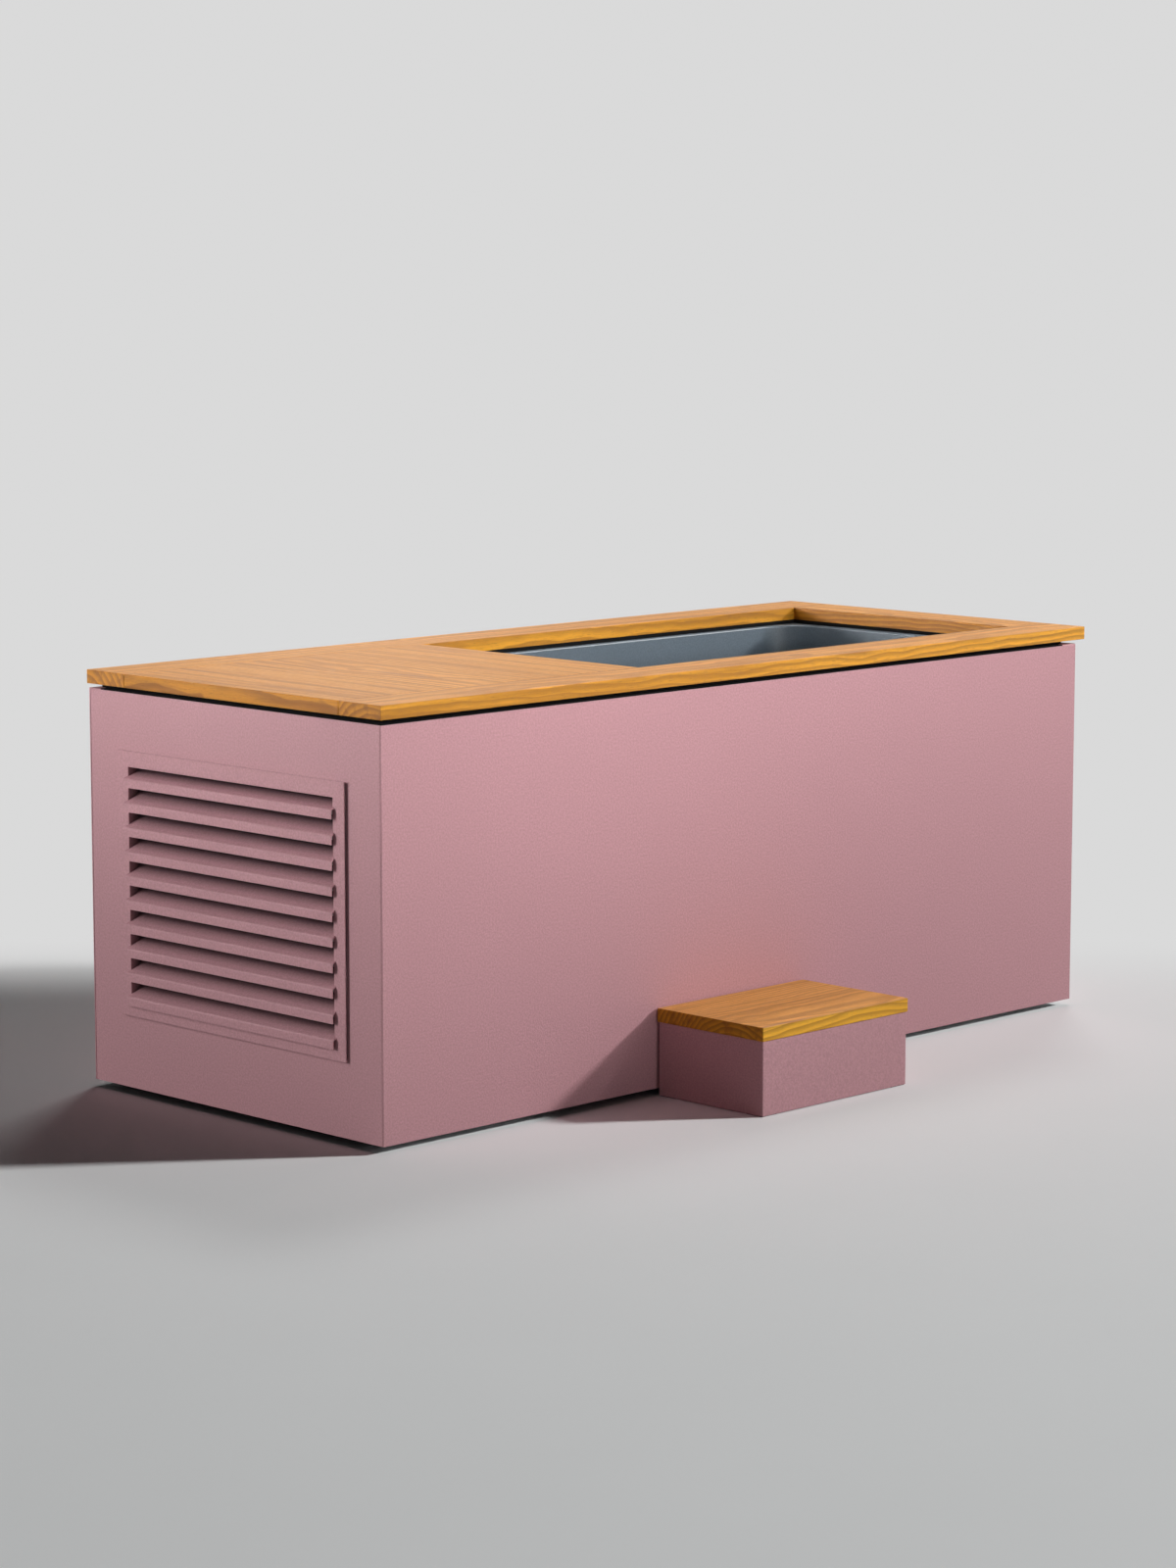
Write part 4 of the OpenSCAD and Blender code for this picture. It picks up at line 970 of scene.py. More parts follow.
def dress_mesh(name: str, mesh: bpy.types.Mesh, finish: Finish, body: Body,
               nodes: tuple[str, ...]) -> bpy.types.Object:
    """Makes an object of a mesh, smooths and paints it, hangs it on its body and hides the CAD
    nodes that it stands for.

    Args:
        name: name of the piece.
        mesh: its mesh.
        finish: its finish.
        body: CAD body that it rides on.
        nodes: CAD nodes that it stands for.

    Returns:
        The object.
    """
    mesh.polygons.foreach_set("use_smooth", [True] * len(mesh.polygons))
    mesh.set_sharp_from_angle(angle=SHARP)
    obj = bpy.data.objects.new(name, mesh)
    bpy.context.scene.collection.objects.link(obj)
    mesh.materials.append(finish.material())
    weigh = obj.modifiers.new("weighted normals", "WEIGHTED_NORMAL")
    weigh.keep_sharp = True
    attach(obj, body.value)
    if nodes:
        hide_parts(*nodes)
    LOG.info("piece %s: %d faces on %s", name, len(mesh.polygons), body.value)
    return obj


def carve(obj: bpy.types.Object, cutter: Solid) -> None:
    """Cuts a solid out of a piece and keeps the result as its mesh."""
    bmesh.ops.recalc_face_normals(cutter.bm, faces=cutter.bm.faces)
    mesh = bpy.data.meshes.new("cutter")
    cutter.bm.to_mesh(mesh)
    cutter.bm.free()
    tool = bpy.data.objects.new("cutter", mesh)
    bpy.context.scene.collection.objects.link(tool)
    others = [modifier.name for modifier in obj.modifiers]
    cut = obj.modifiers.new("cut", "BOOLEAN")
    cut.operation, cut.solver, cut.object = "DIFFERENCE", "EXACT", tool
    for name in others:
        obj.modifiers[name].show_viewport = False
    bpy.context.view_layer.update()
    graph = bpy.context.evaluated_depsgraph_get()
    fresh = bpy.data.meshes.new_from_object(obj.evaluated_get(graph))
    obj.modifiers.remove(cut)
    for name in others:
        obj.modifiers[name].show_viewport = True
    fresh.set_sharp_from_angle(angle=SHARP)
    obj.data = fresh
    bpy.data.objects.remove(tool)


def refinish(node: str, finish: Finish) -> None:
    """Gives a carried-over CAD node its procedural material."""
    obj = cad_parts[node]
    material = finish.material()
    if not obj.material_slots:
        obj.data.materials.append(material)
    for place in obj.material_slots:
        place.material = material
    LOG.info("node %s keeps its shape, finish %s", node, finish.name)


def box(node: str) -> tuple[Vector, Vector]:
    """Lowest and highest corner of a CAD node."""
    low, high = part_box(node)
    return Vector(low), Vector(high)


# The shell


@dataclass
class SidePanel:
    """Long side sheet with a fold along its upper edge.

    Args:
        node: CAD node that it stands for.
        side: end of the Y axis that it faces.
        sheet: thickness of the sheet.
        bend: outer radius of the fold.
        cut_edge: softening of the cut edges.
        cut_angle: angle in degrees from which an edge counts as cut.
    """

    node: str
    side: Side
    sheet: float = 3 * MM
    bend: float = 2.5 * MM
    cut_edge: float = 0.35 * MM
    cut_angle: float = 60.0

    def build(self) -> bpy.types.Object:
        """Extrudes the folded section along the side."""
        low, high = box(self.node)
        face, back = (low.y, high.y) if self.side is Side.LOW else (high.y, low.y)
        outwards = self.side.value
        inner = face - outwards * self.sheet
        outline = [(face, low.z)]
        for angle in quarter(FOLD_STEPS):
            outline.append((face - outwards * self.bend * (1 - math.cos(angle)),
                            high.z - self.bend * (1 - math.sin(angle))))
        outline += [(back, high.z), (back, high.z - self.sheet),
                    (inner, high.z - self.sheet), (inner, low.z)]
        return Solid().prism(outline, Axis.X, low.x, high.x).bevel(
            self.cut_edge, 1, self.cut_angle).piece(
                self.node + "_skin", PINK, Body.TUB, (self.node,))


@dataclass
class EndPanel:
    """End sheet between the long sides, folded inwards at its sides and top.

    Args:
        node: CAD node that it stands for.
        side: end of the X axis that it faces.
        sheet: thickness of the sheet.
        bend: outer radius of the folds.
        notch: width of the upper corners that the long sides' folds fill.
        notch_depth: depth of those corners.
        hole: opening as (low, high) corners on Y and Z, or nothing.
        spare: how far the tray is longer below before it is cut.
        over: how far the cutters reach past the sheet.
        wide: half the width of the cutter below.
    """

    node: str
    side: Side
    sheet: float = 3 * MM
    bend: float = 1.5 * MM
    notch: float = 19 * MM
    notch_depth: float = 3.3 * MM
    hole: tuple[Spot, Spot] | None = None
    spare: float = 60 * MM
    over: float = 20 * MM
    wide: float = 1.0

    def build(self) -> bpy.types.Object:
        """Lofts a shallow tray and cuts its open edge, its corners and its opening."""
        low, high = box(self.node)
        face, back = (low.x, high.x) if self.side is Side.LOW else (high.x, low.x)
        outwards = self.side.value

        def ring(inset: float, x: float) -> list[Vector]:
            """Rectangle at one depth, longer below, where it is cut."""
            y0, y1 = low.y + inset, high.y - inset
            z0, z1 = low.z - self.spare + inset, high.z - inset
            return [Vector((x, y, z)) for y, z in ((y0, z0), (y1, z0), (y1, z1), (y0, z1))]

        inner = face - outwards * self.sheet
        rings = [ring(self.sheet, inner), ring(self.sheet, back), ring(0.0, back)]
        for angle in quarter(FOLD_STEPS):
            rings.append(ring(self.bend * (1 - math.cos(angle)),
                              face - outwards * self.bend * (1 - math.sin(angle))))
        panel = Solid().loft(rings).piece(self.node + "_skin", PINK, Body.TUB, (self.node,))
        far = max(abs(face), abs(back)) + self.over
        near = min(abs(face), abs(back)) - self.over
        x0, x1 = sorted((outwards * near, outwards * far))
        below, above = low.z - 2 * self.spare, high.z + self.spare
        corner = high.z - self.notch_depth
        openings = [((-self.wide, below), (self.wide, low.z)),
                    ((low.y - self.spare, corner), (low.y + self.notch, above)),
                    ((high.y - self.notch, corner), (high.y + self.spare, above))]
        if self.hole:
            openings.append(self.hole)
        for (y0, z0), (y1, z1) in openings:
            carve(panel, Solid().block((x0, y0, z0), (x1, y1, z1)))
        return panel


@dataclass
class Shell:
    """The four outer panels.

    Args:
        vent_border: width of the grille's plate round its opening.
        vent_clear: how much wider the panel's opening is than the grille's.
        recess_clear: gap round the service recess.
        recess_cut: places on Y between which its opening is cut.
    """

    vent_border: float = 31 * MM
    vent_clear: float = 5 * MM
    recess_clear: float = 0.3 * MM
    recess_cut: Range = (0.38, 0.44)

    def build(self) -> None:
        """Makes the panels with their openings."""
        low, high = box("grille_frame")
        edge = self.vent_border - self.vent_clear
        vent = ((low.y + edge, low.z + edge), (high.y - edge, high.z - edge))
        SidePanel("front_panel", Side.LOW).build()
        back = SidePanel("back_panel", Side.HIGH).build()
        low, high = box("service_recess")
        clear = self.recess_clear
        carve(back, Solid().block(
            (low.x - clear, self.recess_cut[0], low.z - clear),
            (high.x + clear, self.recess_cut[1], high.z + clear)))
        EndPanel("foot_end_panel", Side.HIGH).build()
        EndPanel("vent_end_panel", Side.LOW, hole=vent).build()


# The air inlet


@dataclass
class VentGrille:
    """Plate with a deep return and ten folded louvre blades.

    Args:
        border: width of the plate round its opening.
        sheet: thickness of the plate.
        blade_sheet: thickness of a blade.
        lip: height of a blade's upright lip.
        proud: how far the lips stand in front of the plate.
        depth: depth of a blade from its lip to its inner edge.
        slope: slope of a blade, in degrees.
        lip_side: how far a lip runs past the opening on each side.
        lip_share: part of that stand over which a blade is as wide as its lip.
        fold: outer radius between a lip and its slope.
        count: number of blades.
        top_drop: how far below the opening's upper edge the highest blade starts.
        top_clear: gap between the highest blade and that edge.
        side_clear: gap between a blade and the opening's sides.
        soft: softening of the plate's edges.
    """

    border: float = 31 * MM
    sheet: float = 2 * MM
    blade_sheet: float = 1.5 * MM
    lip: float = 17 * MM
    proud: float = 8 * MM
    depth: float = 50 * MM
    slope: float = 30.0
    lip_side: float = 5 * MM
    lip_share: float = 0.6
    fold: float = 5 * MM
    count: int = 10
    top_drop: float = 39 * MM
    top_clear: float = 0.4 * MM
    side_clear: float = 0.3 * MM
    soft: float = 0.5 * MM

    def build(self) -> None:
        """Makes the gasket, the plate, the blades and the brackets."""
        self._plate()
        first = box("louvre_blades")[0].z
        head = box("grille_frame")[1].z - self.border - self.top_drop
        pitch = (head - first) / (self.count - 1)
        for i in range(self.count):
            self._blade(i + 1, first + i * pitch)
        refinish("grille_gasket", RUBBER)
        refinish("grille_brackets", ZINC)

    def _plate(self) -> None:
        """The border with its return round the opening."""
        low, high = box("grille_frame")
        outer = [(low.y, low.z), (high.y, low.z), (high.y, high.z), (low.y, high.z)]
        edge = self.border

        def ring(inset: float, x: float) -> list[Vector]:
            """Rectangle drawn in from the plate's outline."""
            signs = ((1, 1), (-1, 1), (-1, -1), (1, -1))
            return [Vector((x, y + s * inset, z + t * inset))
                    for (y, z), (s, t) in zip(outer, signs)]

        front, rear, soft = low.x, low.x + self.sheet, self.soft
        rings = [ring(0.0, rear), ring(0.0, front + soft), ring(soft, front),
                 ring(edge - soft, front), ring(edge, front + soft), ring(edge, high.x),
                 ring(edge - self.sheet, high.x), ring(edge - self.sheet, rear)]
        Solid().loft(rings, loop=True).piece("grille_plate", PINK_VENT_SHADED, Body.TUB, ("grille_frame",))

    def _blade(self, number: int, bottom: float) -> None:
        """One folded blade: an upright lip and a slope that rises inwards."""
        low, high = box("grille_frame")
        front = low.x - self.proud
        back = front + self.depth
        top_limit = high.z - self.border - self.top_clear
        half = high.y - self.border
        rise = math.tan(math.radians(self.slope))
        thick = self.blade_sheet
        lean = QUARTER - self.slope
        reach = self.fold * math.tan(math.radians(lean / 2))
        fold_z = bottom + self.lip - reach
        centre = (front + self.fold, fold_z)
        last_z = bottom + self.lip + (back - front) * rise
        drop = thick / math.cos(math.radians(self.slope))
        level = 2 * QUARTER
        outer = [(front, bottom)] + arc(centre, self.fold, level, level - lean, FOLD_STEPS)
        inner = arc(centre, self.fold - thick, level - lean, level, FOLD_STEPS) + [
            (front + thick, bottom)]
        outline = [(x, min(z, top_limit))
                   for x, z in outer + [(back, last_z), (back, last_z - drop)] + inner]
        ends = []
        for side in (-1, 1):
            ring = []
            for x, z in outline:
                inside = x > front + self.proud * self.lip_share
                width = half - self.side_clear if inside else half + self.lip_side
                ring.append(Vector((x, side * width, z)))
            ends.append(ring)
        Solid().loft(ends).piece(f"louvre_blade_{number:02d}", PINK_VENT_SHADED, Body.TUB,
                                 ("louvre_blades",))


# The wooden top


@dataclass
class Board:
    """One board of the top or the step.

    Args:
        node: CAD node that it stands for.
        finish: cut of the wood.
        body: CAD body that it rides on.
        edge: radius of the softened edges.
        rounds: number of strips in a softened edge.
    """

    node: str
    finish: OiledWood
    body: Body = Body.TUB
    edge: float = 1.3 * MM
    rounds: int = 3

    def build(self) -> None:
        """Makes the board with softened edges."""
        low, high = box(self.node)
        Solid().block(tuple(low), tuple(high)).bevel(self.edge, self.rounds).piece(
            self.node + "_board", self.finish, self.body, (self.node,))


@dataclass
class WoodenTop:
    """The rails round the basin, the deck over the bay and its battens.

    Args:
        shade_strip: thickness of the black strip on the shell's upper folds, which paints the shade
            under the wood's overhang.
        shade_strip_proud: how far it stands outside the shell's outline.
        shade_strip_drop: how far it reaches down over the shell's edge.
        shade_strip_stop: how far before the spacer's far ends it stops.
        batten: width of a batten.
        batten_edge: radius of its softened edges.
        batten_rounds: number of strips in such an edge.
    """

    shade_strip: float = 0.9 * MM
    shade_strip_proud: float = 0.25 * MM
    shade_strip_drop: float = 1.5 * MM
    shade_strip_stop: float = 18 * MM
    batten: float = 44 * MM
    batten_edge: float = 3 * MM
    batten_rounds: int = 2

    def build(self) -> None:
        """Makes the boards and the black spacer frame."""
        Board("front_rail", OAK_FRONT).build()
        Board("back_rail", OAK_BACK).build()
        Board("end_rail", OAK_END).build()
        Board("deck_panel", OAK_DECK, Body.DECK).build()
        self._battens()
        self._spacer()

    def _battens(self) -> None:
        """Three battens under the deck."""
        low, high = box("deck_battens")
        width = self.batten
        for i, y in enumerate((low.y, -width / 2, high.y - width)):
            Solid().block((low.x, y, low.z), (high.x, y + width, high.z)).bevel(
                self.batten_edge, self.batten_rounds).piece(
                    f"deck_batten_{i + 1}", OAK_BATTENS, Body.DECK, ("deck_battens",))

    def _spacer(self) -> None:
        """The black frame between the shell and the wood, and a black strip of painted shade on the
        shell's upper folds under the wood's overhang.
        """
        refinish("spacer_frame", SEAL)
        low, high = box("spacer_frame")
        edge_x = box("vent_end_panel")[0].x - self.shade_strip_proud
        edge_y = box("front_panel")[0].y - self.shade_strip_proud
        stop_x, stop_y = high.x - self.shade_strip_stop, high.y - self.shade_strip_stop
        outline = [(edge_x, edge_y), (stop_x, edge_y), (stop_x, low.y), (low.x, low.y),
                   (low.x, stop_y), (edge_x, stop_y)]
        # Painted shade: a black strip on the upper folds of the front and the vent end, which lie
        # in shade under the wood's overhang.
        Solid().prism(outline, Axis.Z, low.z - self.shade_strip_drop, low.z + self.shade_strip).piece(
            "painted_shade_strip", SEAL)


# The basin


@dataclass
class Basin:
    """Moulded basin with a rolled lip, a flange and its fittings.

    Args:
        wall: thickness of the moulding.
        corner: radius of the upright corners, inside.
        floor_round: radius between the floor and the walls, inside.
        lip: radius of the rolled lip.
        flange: thickness of the flange.
        root: width of the fillet under the flange.
        root_drop: how far the middle of that fillet lies below the flange.
        rim_corner: radius of the flange's corners.
        ends: inner faces of the short walls, on X.
        half: half the width inside.
        bore: radius of the fittings' holes.
        wall_cut: places on X between which the holes of the bay's wall are cut.
        floor_cut: places on Z between which the drain's hole is cut.
        corner_steps: segments of a corner.
        floor_steps: segments of the round between floor and walls.
        lip_steps: segments of the lip.
    """

    wall: float = 5 * MM
    corner: float = 110 * MM
    floor_round: float = 45 * MM
    lip: float = 5 * MM
    flange: float = 3 * MM
    root: float = 6 * MM
    root_drop: float = 1 * MM
    rim_corner: float = 6 * MM
    ends: Range = (-0.220, 0.905)
    half: float = 0.303
    bore: float = 24 * MM
    wall_cut: Range = (-0.24, -0.20)
    floor_cut: Range = (0.09, 0.13)
    corner_steps: int = 14
    floor_steps: int = 8
    lip_steps: int = 6

    def build(self) -> None:
        """Lofts the shell and cuts the holes of its fittings."""
        low, high = box("tub_basin")
        floor, top = low.z + self.wall, high.z
        reach = self.floor_round + self.wall
        inner, outer = [], []
        for turn in quarter(self.floor_steps):
            inner.append(self._ring(-self.floor_round * (1 - math.sin(turn)),
                                    floor + self.floor_round * (1 - math.cos(turn))))
            outer.append(self._ring(self.wall - reach * (1 - math.sin(turn)),
                                    low.z + reach * (1 - math.cos(turn))))
        for turn in quarter(self.lip_steps):
            inner.append(self._ring(self.lip * (1 - math.cos(turn)),
                                    top - self.lip * (1 - math.sin(turn))))
        edge = round_rect((low.x, low.y), (high.x, high.y), self.rim_corner, self.corner_steps)
        rim = [[Vector((a, b, z)) for a, b in edge] for z in (top, top - self.flange)]
        outer.append(self._ring(self.wall, top - self.lip))
        outer.append(self._ring(self.wall + self.root / 2, top - self.flange - self.root_drop))
        outer.append(self._ring(self.wall + self.root, top - self.flange))
        rings = inner + rim + outer[::-1]
        basin = Solid().loft(rings).piece("basin_shell", BASIN_SKIN, Body.TUB, ("tub_basin",))
        self._holes(basin)
        for node in ("suction_fitting", "return_fitting", "jet_eyeball", "drain_strainer",
                     "fitting_nuts"):
            refinish(node, FITTING)
        LOG.info("basin wall and flange of %d rings", len(rings))

    def _ring(self, grow: float, z: float) -> list[Vector]:
        """Rounded rectangle at a height, grown outwards."""
        return [Vector((a, b, z)) for a, b in round_rect(
            (self.ends[0] - grow, -self.half - grow), (self.ends[1] + grow, self.half + grow),
            self.corner + grow, self.corner_steps)]

    def _holes(self, basin: bpy.types.Object) -> None:
        """Openings for the suction, the jet and the drain."""
        for node, axis, places in (("suction_fitting", Axis.X, self.wall_cut),
                                   ("return_fitting", Axis.X, self.wall_cut),
                                   ("drain_strainer", Axis.Z, self.floor_cut)):
            low, high = box(node)
            middle = (low + high) / 2
            carve(basin, Solid().lathe([(place, self.bore) for place in places], axis,
                                       tuple(middle[other] for other in axis.others)))


# The step


@dataclass
class Step:
    """Sheet-steel step with a wooden tread and rubber feet.

    Args:
        sheet: thickness of the sheet.
        edge: radius of the upper and the upright edges.
        least: smallest radius of a corner.
        rim: width of the sheet's rim under the tread.
    """

    sheet: float = 2 * MM
    edge: float = 2 * MM
    least: float = 0.5 * MM
    rim: float = 40 * MM

    def build(self) -> None:
        """Makes the box, the tread and the feet."""
        Solid().loft(self._rings(*box("step_box")), loop=True).piece(
            "step_shell", PINK, Body.STEP, ("step_box",))
        Board("step_tread", OAK_TREAD, Body.STEP).build()
        refinish("step_feet", RUBBER)

    def _rings(self, low: Vector, high: Vector) -> list[list[Vector]]:
        """Sections of the box from its foot, over the top, to the inside."""

        def ring(inset: float, z: float) -> list[Vector]:
            """Rounded outline at a height."""
            return [Vector((a, b, z)) for a, b in round_rect(
                (low.x + inset, low.y + inset), (high.x - inset, high.y - inset),
                max(self.edge - inset, self.least), CORNER_STEPS)]

        rings = [ring(0.0, low.z)]
        for turn in quarter(CORNER_STEPS):
            rings.append(ring(self.edge * (1 - math.cos(turn)),
                              high.z - self.edge * (1 - math.sin(turn))))
        return rings + [ring(self.rim, high.z), ring(self.rim, high.z - self.sheet),
                        ring(self.sheet, high.z - self.sheet), ring(self.sheet, low.z)]


# What is left of the frame


@dataclass
class CarriedOver:
    """CAD nodes whose shape is right and which only take a finish.

    Args:
        finishes: each finish with the nodes that take it.
    """

    finishes: tuple[tuple[Finish, tuple[str, ...]], ...] = (
        (BLACK, ("base_skids", "fan_shroud", "service_recess", "cable_gland", "switch_body",
                 "filter_lid")),
        (RUBBER, ("compressor_feet", "pump_mount")),
        (ZINC, ("floor_tray", "posts", "long_beams", "cross_beams", "bulkhead",
                "coil_brackets")),
        (FOAM, ("side_insulation", "floor_insulation")),
        (FINS, ("condenser_coil",)),
        (ENAMEL, ("fan_motor", "compressor")),
        (FAN_PLASTIC, ("fan_rotor",)),
        (WRAP, ("heat_exchanger",)),
        (COPPER, ("refrigerant_pipes",)),
        (PUMP_PLASTIC, ("circulation_pump", "filter_housing")),
        (MEDIA, ("filter_cartridge",)),
        (STAINLESS, ("lamp_housing",)),
        (PIPE, ("suction_pipe", "pump_pipe", "filter_pipe", "riser_pipe", "return_pipe",
                "drain_pipe")),
        (BRASS, ("drain_valve",)),
        (RED, ("drain_lever", "switch_rocker")),
        (GREY, ("control_box",)),
        (SHEATH, ("wiring",)),
    )

    def build(self) -> None:
        """Paints each node."""
        for finish, nodes in self.finishes:
            for node in nodes:
                refinish(node, finish)


# The studio


class Reach(Enum):
    """What a lamp lights, as flags in front of it allow."""

    ALL = "all"
    OBJECT = "EXCLUDE"
    FLOOR = "INCLUDE"


@dataclass
class Softbox:
    """A rectangular studio lamp that the camera doesn't see.

    Args:
        name: its name.
        place: its middle, in metres.
        target: point that it looks at.
        size: width and height, in metres.
        power: watts.
        spread: angle of the honeycomb grid in front of it, in degrees.
        reach: what it lights.
    """

    name: str
    place: Point
    target: Point
    size: Spot
    power: float
    spread: float = 180.0
    reach: Reach = Reach.ALL

    def build(self) -> None:
        """Adds the lamp."""
        lamp = bpy.data.lights.new(self.name, "AREA")
        lamp.shape = "RECTANGLE"
        lamp.size, lamp.size_y = self.size
        lamp.energy = self.power
        lamp.spread = math.radians(self.spread)
        obj = bpy.data.objects.new(self.name, lamp)
        obj.location = self.place
        aim = Vector(self.target) - Vector(self.place)
        obj.rotation_euler = aim.to_track_quat("-Z", "Y").to_euler()
        obj.visible_camera = False
        bpy.context.scene.collection.objects.link(obj)
        if self.reach is not Reach.ALL:
            flags = bpy.data.collections.new(self.name + "_flags")
            flags.objects.link(bpy.data.objects["studio_floor"])
            flags.collection_objects[0].light_linking.link_state = self.reach.value
            obj.light_linking.receiver_collection = flags


MIDDLE: Point = (0.0, 0.0, 0.3)
KEY_AIM: Point = (0.0, 0.0, 0.4)
SQUARE: Spot = (1.2, 1.2)
STRIP: Spot = (2.5, 0.8)
GRID = 24.0

# A key from the right front, high lamps behind, and low or gridded ones for the two faces that
# the camera sees. The floor has lamps of its own.
LAMPS = (
    Softbox("key", (9.3, -7.56, 5.5), KEY_AIM, (1.0, 1.0), power=1140.0,
            reach=Reach.OBJECT),
    Softbox("key_floor", (18.6, -15.12, 11.0), KEY_AIM, (2.0, 2.0), power=7700.0,
            reach=Reach.FLOOR),
    Softbox("floor_wash", (9.0, 6.0, 14.0), MIDDLE, (4.0, 4.0), power=480.0,
            reach=Reach.FLOOR),
    Softbox("front_high", (5.58, -4.05, 6.09), MIDDLE, SQUARE, power=130.0,
            reach=Reach.OBJECT),
    Softbox("right_high", (3.66, 2.11, 8.25), MIDDLE, SQUARE, power=200.0,
            reach=Reach.OBJECT),
    Softbox("back_high", (0.0, 4.23, 8.25), MIDDLE, SQUARE, power=80.0, reach=Reach.OBJECT),
    Softbox("left_tall", (-7.5, 3.6, 3.1), MIDDLE, (1.2, 5.4), power=342.0,
            reach=Reach.OBJECT),
    Softbox("front_low", (-5.54, -6.95, 1.71), MIDDLE, SQUARE, power=27.0,
            reach=Reach.OBJECT),
    Softbox("back_low", (5.54, 6.95, 1.71), MIDDLE, SQUARE, power=9.0),
    Softbox("front_grid", (0.3, -6.5, 1.9), (0.3, 0.0, 1.35), STRIP, power=6.8, spread=GRID,
            reach=Reach.OBJECT),
    Softbox("near_grid", (-0.9, -6.5, 1.9), (-0.9, 0.0, 0.95), (1.2, 0.8), power=2.6,
            spread=GRID, reach=Reach.OBJECT),
    Softbox("left_grid", (-5.0, 4.0, 1.9), (0.0, 0.0, 1.35), STRIP, power=11.0, spread=GRID,
            reach=Reach.OBJECT),
)


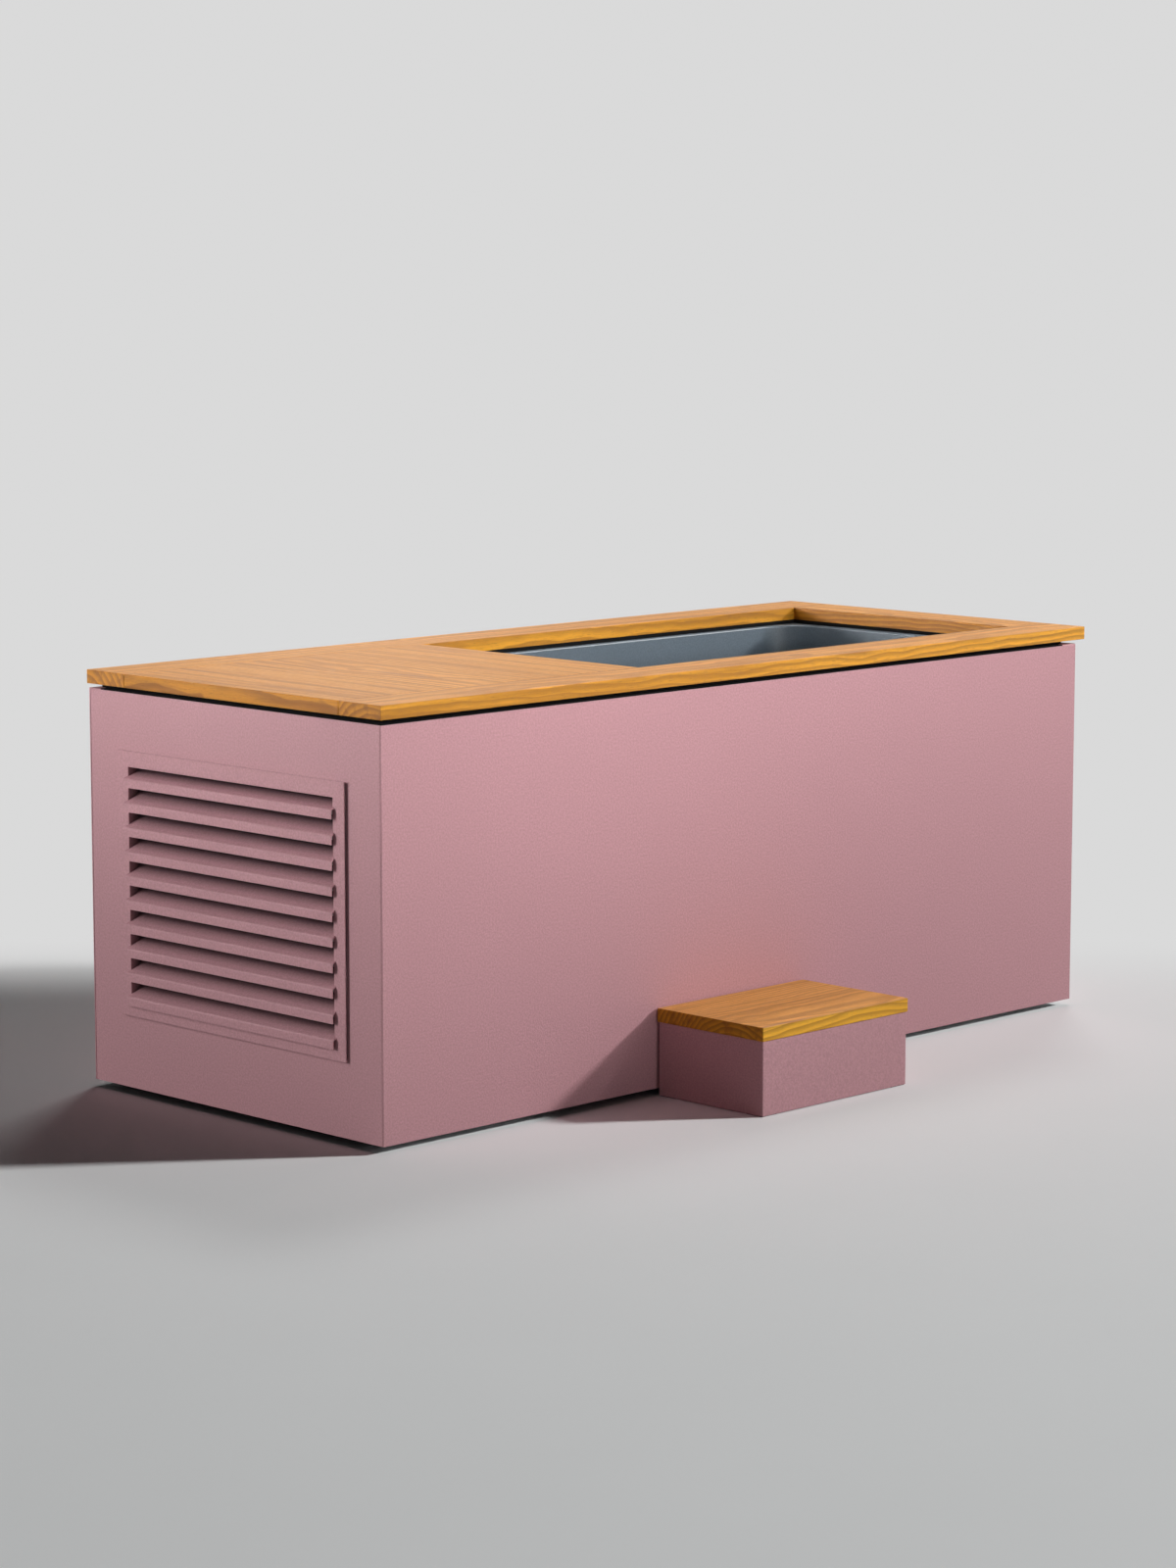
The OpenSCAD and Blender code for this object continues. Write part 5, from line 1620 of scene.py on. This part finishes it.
@dataclass
class Studio:
    """Floor, background, lamps and camera.

    Args:
        wall: distance from the camera along the view at which the floor meets the wall.
        backdrop: brightness of the wall behind the object.
        floor: colour of the floor.
        fill: brightness of the room's even light.
        fade: depth over which the floor turns into the wall.
        bounce: share of its light that the floor throws back on the object.
        clearing: distances from the object between which the floor fades out all round.
        clouds: faint patches of the floor, per metre.
        cloud_tone: their tone.
        matt: roughness of the floor.
        reach: half the width of the floor.
        camera_place: place of the camera.
        azimuth: direction of the view from +Y towards +X, in radians.
        dip: how far the view points down, in radians.
        lens: focal length, in millimetres.
        sensor: height of the film, in millimetres.
        sight: how far the camera sees.
        lamps: the studio's lamps.
    """

    wall: float = 9.3
    backdrop: float = 0.700
    floor: Colour = (0.835, 0.85, 0.85)
    fill: float = 0.03
    fade: float = 0.8
    bounce: float = 0.48
    clearing: Range = (3.7, 5.2)
    clouds: float = 3.0
    cloud_tone: float = 0.99
    matt: float = 0.9
    reach: float = 30.0
    camera_place: Point = (-5.748, -5.676, 1.661)
    azimuth: float = 0.7869
    dip: float = 0.1379
    lens: float = 91.588
    sensor: float = 36.0
    sight: float = 100.0
    lamps: tuple[Softbox, ...] = LAMPS

    def build(self) -> None:
        """Makes the whole studio."""
        self._world()
        self._floor()
        for lamp in self.lamps:
            lamp.build()
        self._camera()
        bpy.context.scene.view_settings.view_transform = "Standard"

    @staticmethod
    def _seen(tree: bpy.types.NodeTree) -> bpy.types.NodeSocket:
        """One for rays that show the background: the camera's, mirrored and refracted ones."""
        path = tree.nodes.new("ShaderNodeLightPath")
        shown: bpy.types.NodeSocket = path.outputs["Is Camera Ray"]
        for ray in ("Is Glossy Ray", "Is Transmission Ray"):
            either = tree.nodes.new("ShaderNodeMath")
            either.operation = Op.MAXIMUM.value
            tree.links.new(shown, either.inputs[0])
            tree.links.new(path.outputs[ray], either.inputs[1])
            shown = either.outputs[0]
        return shown

    def _world(self) -> None:
        """Even room light, and a plain pale wall for the camera."""
        world = bpy.data.worlds.new("studio")
        bpy.context.scene.world = world
        world.use_nodes = True
        tree = world.node_tree
        tree.nodes.clear()
        seen = tree.nodes.new("ShaderNodeBackground")
        room = tree.nodes.new("ShaderNodeBackground")
        mix = tree.nodes.new("ShaderNodeMixShader")
        out = tree.nodes.new("ShaderNodeOutputWorld")
        seen.inputs["Color"].default_value = (self.backdrop,) * 3 + (1.0,)
        room.inputs["Color"].default_value = (1.0, 1.0, 1.0, 1.0)
        room.inputs["Strength"].default_value = self.fill
        tree.links.new(self._seen(tree), mix.inputs[0])
        tree.links.new(room.outputs[0], mix.inputs[1])
        tree.links.new(seen.outputs[0], mix.inputs[2])
        tree.links.new(mix.outputs[0], out.inputs[0])

    def _floor(self) -> None:
        """A wide floor that turns into the wall's tone behind the object."""
        graph = NodeGraph("studio_floor")
        x, y, _ = graph.split(graph.place)
        ahead = (math.sin(self.azimuth), math.cos(self.azimuth))
        start = self.camera_place[0] * ahead[0] + self.camera_place[1] * ahead[1] + self.wall
        depth = graph.math(Op.ADD, graph.math(Op.MULTIPLY, x, ahead[0]),
                           graph.math(Op.MULTIPLY, y, ahead[1]))
        wall = graph.fit(depth, (start - self.fade, start), smooth=True)
        around = graph.fit(graph.length(graph.place), self.clearing, smooth=True)
        wall = graph.math(Op.MAXIMUM, wall, around)
        tone = graph.blend(graph.fit(graph.noise(self.clouds), MOST_NOISE),
                           shade(self.floor, self.cloud_tone), self.floor)
        tree = graph.tree
        shown = self._seen(tree)
        tone = graph.blend(shown, shade(self.floor, self.bounce), tone)
        graph.set(Base_Color=tone, Roughness=self.matt, Specular_IOR_Level=0.0)
        glow = tree.nodes.new("ShaderNodeEmission")
        glow.inputs["Color"].default_value = (self.backdrop,) * 3 + (1.0,)
        mix = tree.nodes.new("ShaderNodeMixShader")
        tree.links.new(graph.math(Op.MULTIPLY, wall, shown), mix.inputs[0])
        tree.links.new(graph.shader.outputs[0], mix.inputs[1])
        tree.links.new(glow.outputs[0], mix.inputs[2])
        tree.links.new(mix.outputs[0], graph.output.inputs["Surface"])
        mesh = bpy.data.meshes.new("studio_floor")
        signs = ((-1, -1), (1, -1), (1, 1), (-1, 1))
        mesh.from_pydata([(s * self.reach, t * self.reach, 0.0) for s, t in signs], [],
                         [(0, 1, 2, 3)])
        mesh.materials.append(graph.material)
        obj = bpy.data.objects.new("studio_floor", mesh)
        bpy.context.scene.collection.objects.link(obj)

    def _camera(self) -> None:
        """The photograph's camera."""
        data = bpy.data.cameras.new("camera")
        data.sensor_fit = "VERTICAL"
        data.sensor_height = self.sensor
        data.lens = self.lens
        data.clip_end = self.sight
        camera = bpy.data.objects.new("camera", data)
        camera.location = self.camera_place
        level = math.cos(self.dip)
        view = Vector((math.sin(self.azimuth) * level, math.cos(self.azimuth) * level,
                       -math.sin(self.dip)))
        camera.rotation_euler = view.to_track_quat("-Z", "Y").to_euler()
        bpy.context.scene.collection.objects.link(camera)
        bpy.context.scene.camera = camera


# The whole


@dataclass
class PlungeTub:
    """The whole object in its studio.

    Args:
        parts: its sub-assemblies, and the studio last.
    """

    parts: tuple[object, ...] = (Shell(), VentGrille(), WoodenTop(), Basin(), Step(),
                                 CarriedOver(), Studio())

    def build(self) -> None:
        """Builds every sub-assembly in turn."""
        for part in self.parts:
            part.build()
            LOG.info("%s done", type(part).__name__)


def main() -> None:
    """Builds the scene."""
    PlungeTub().build()


if __name__ == "__main__":
    main()
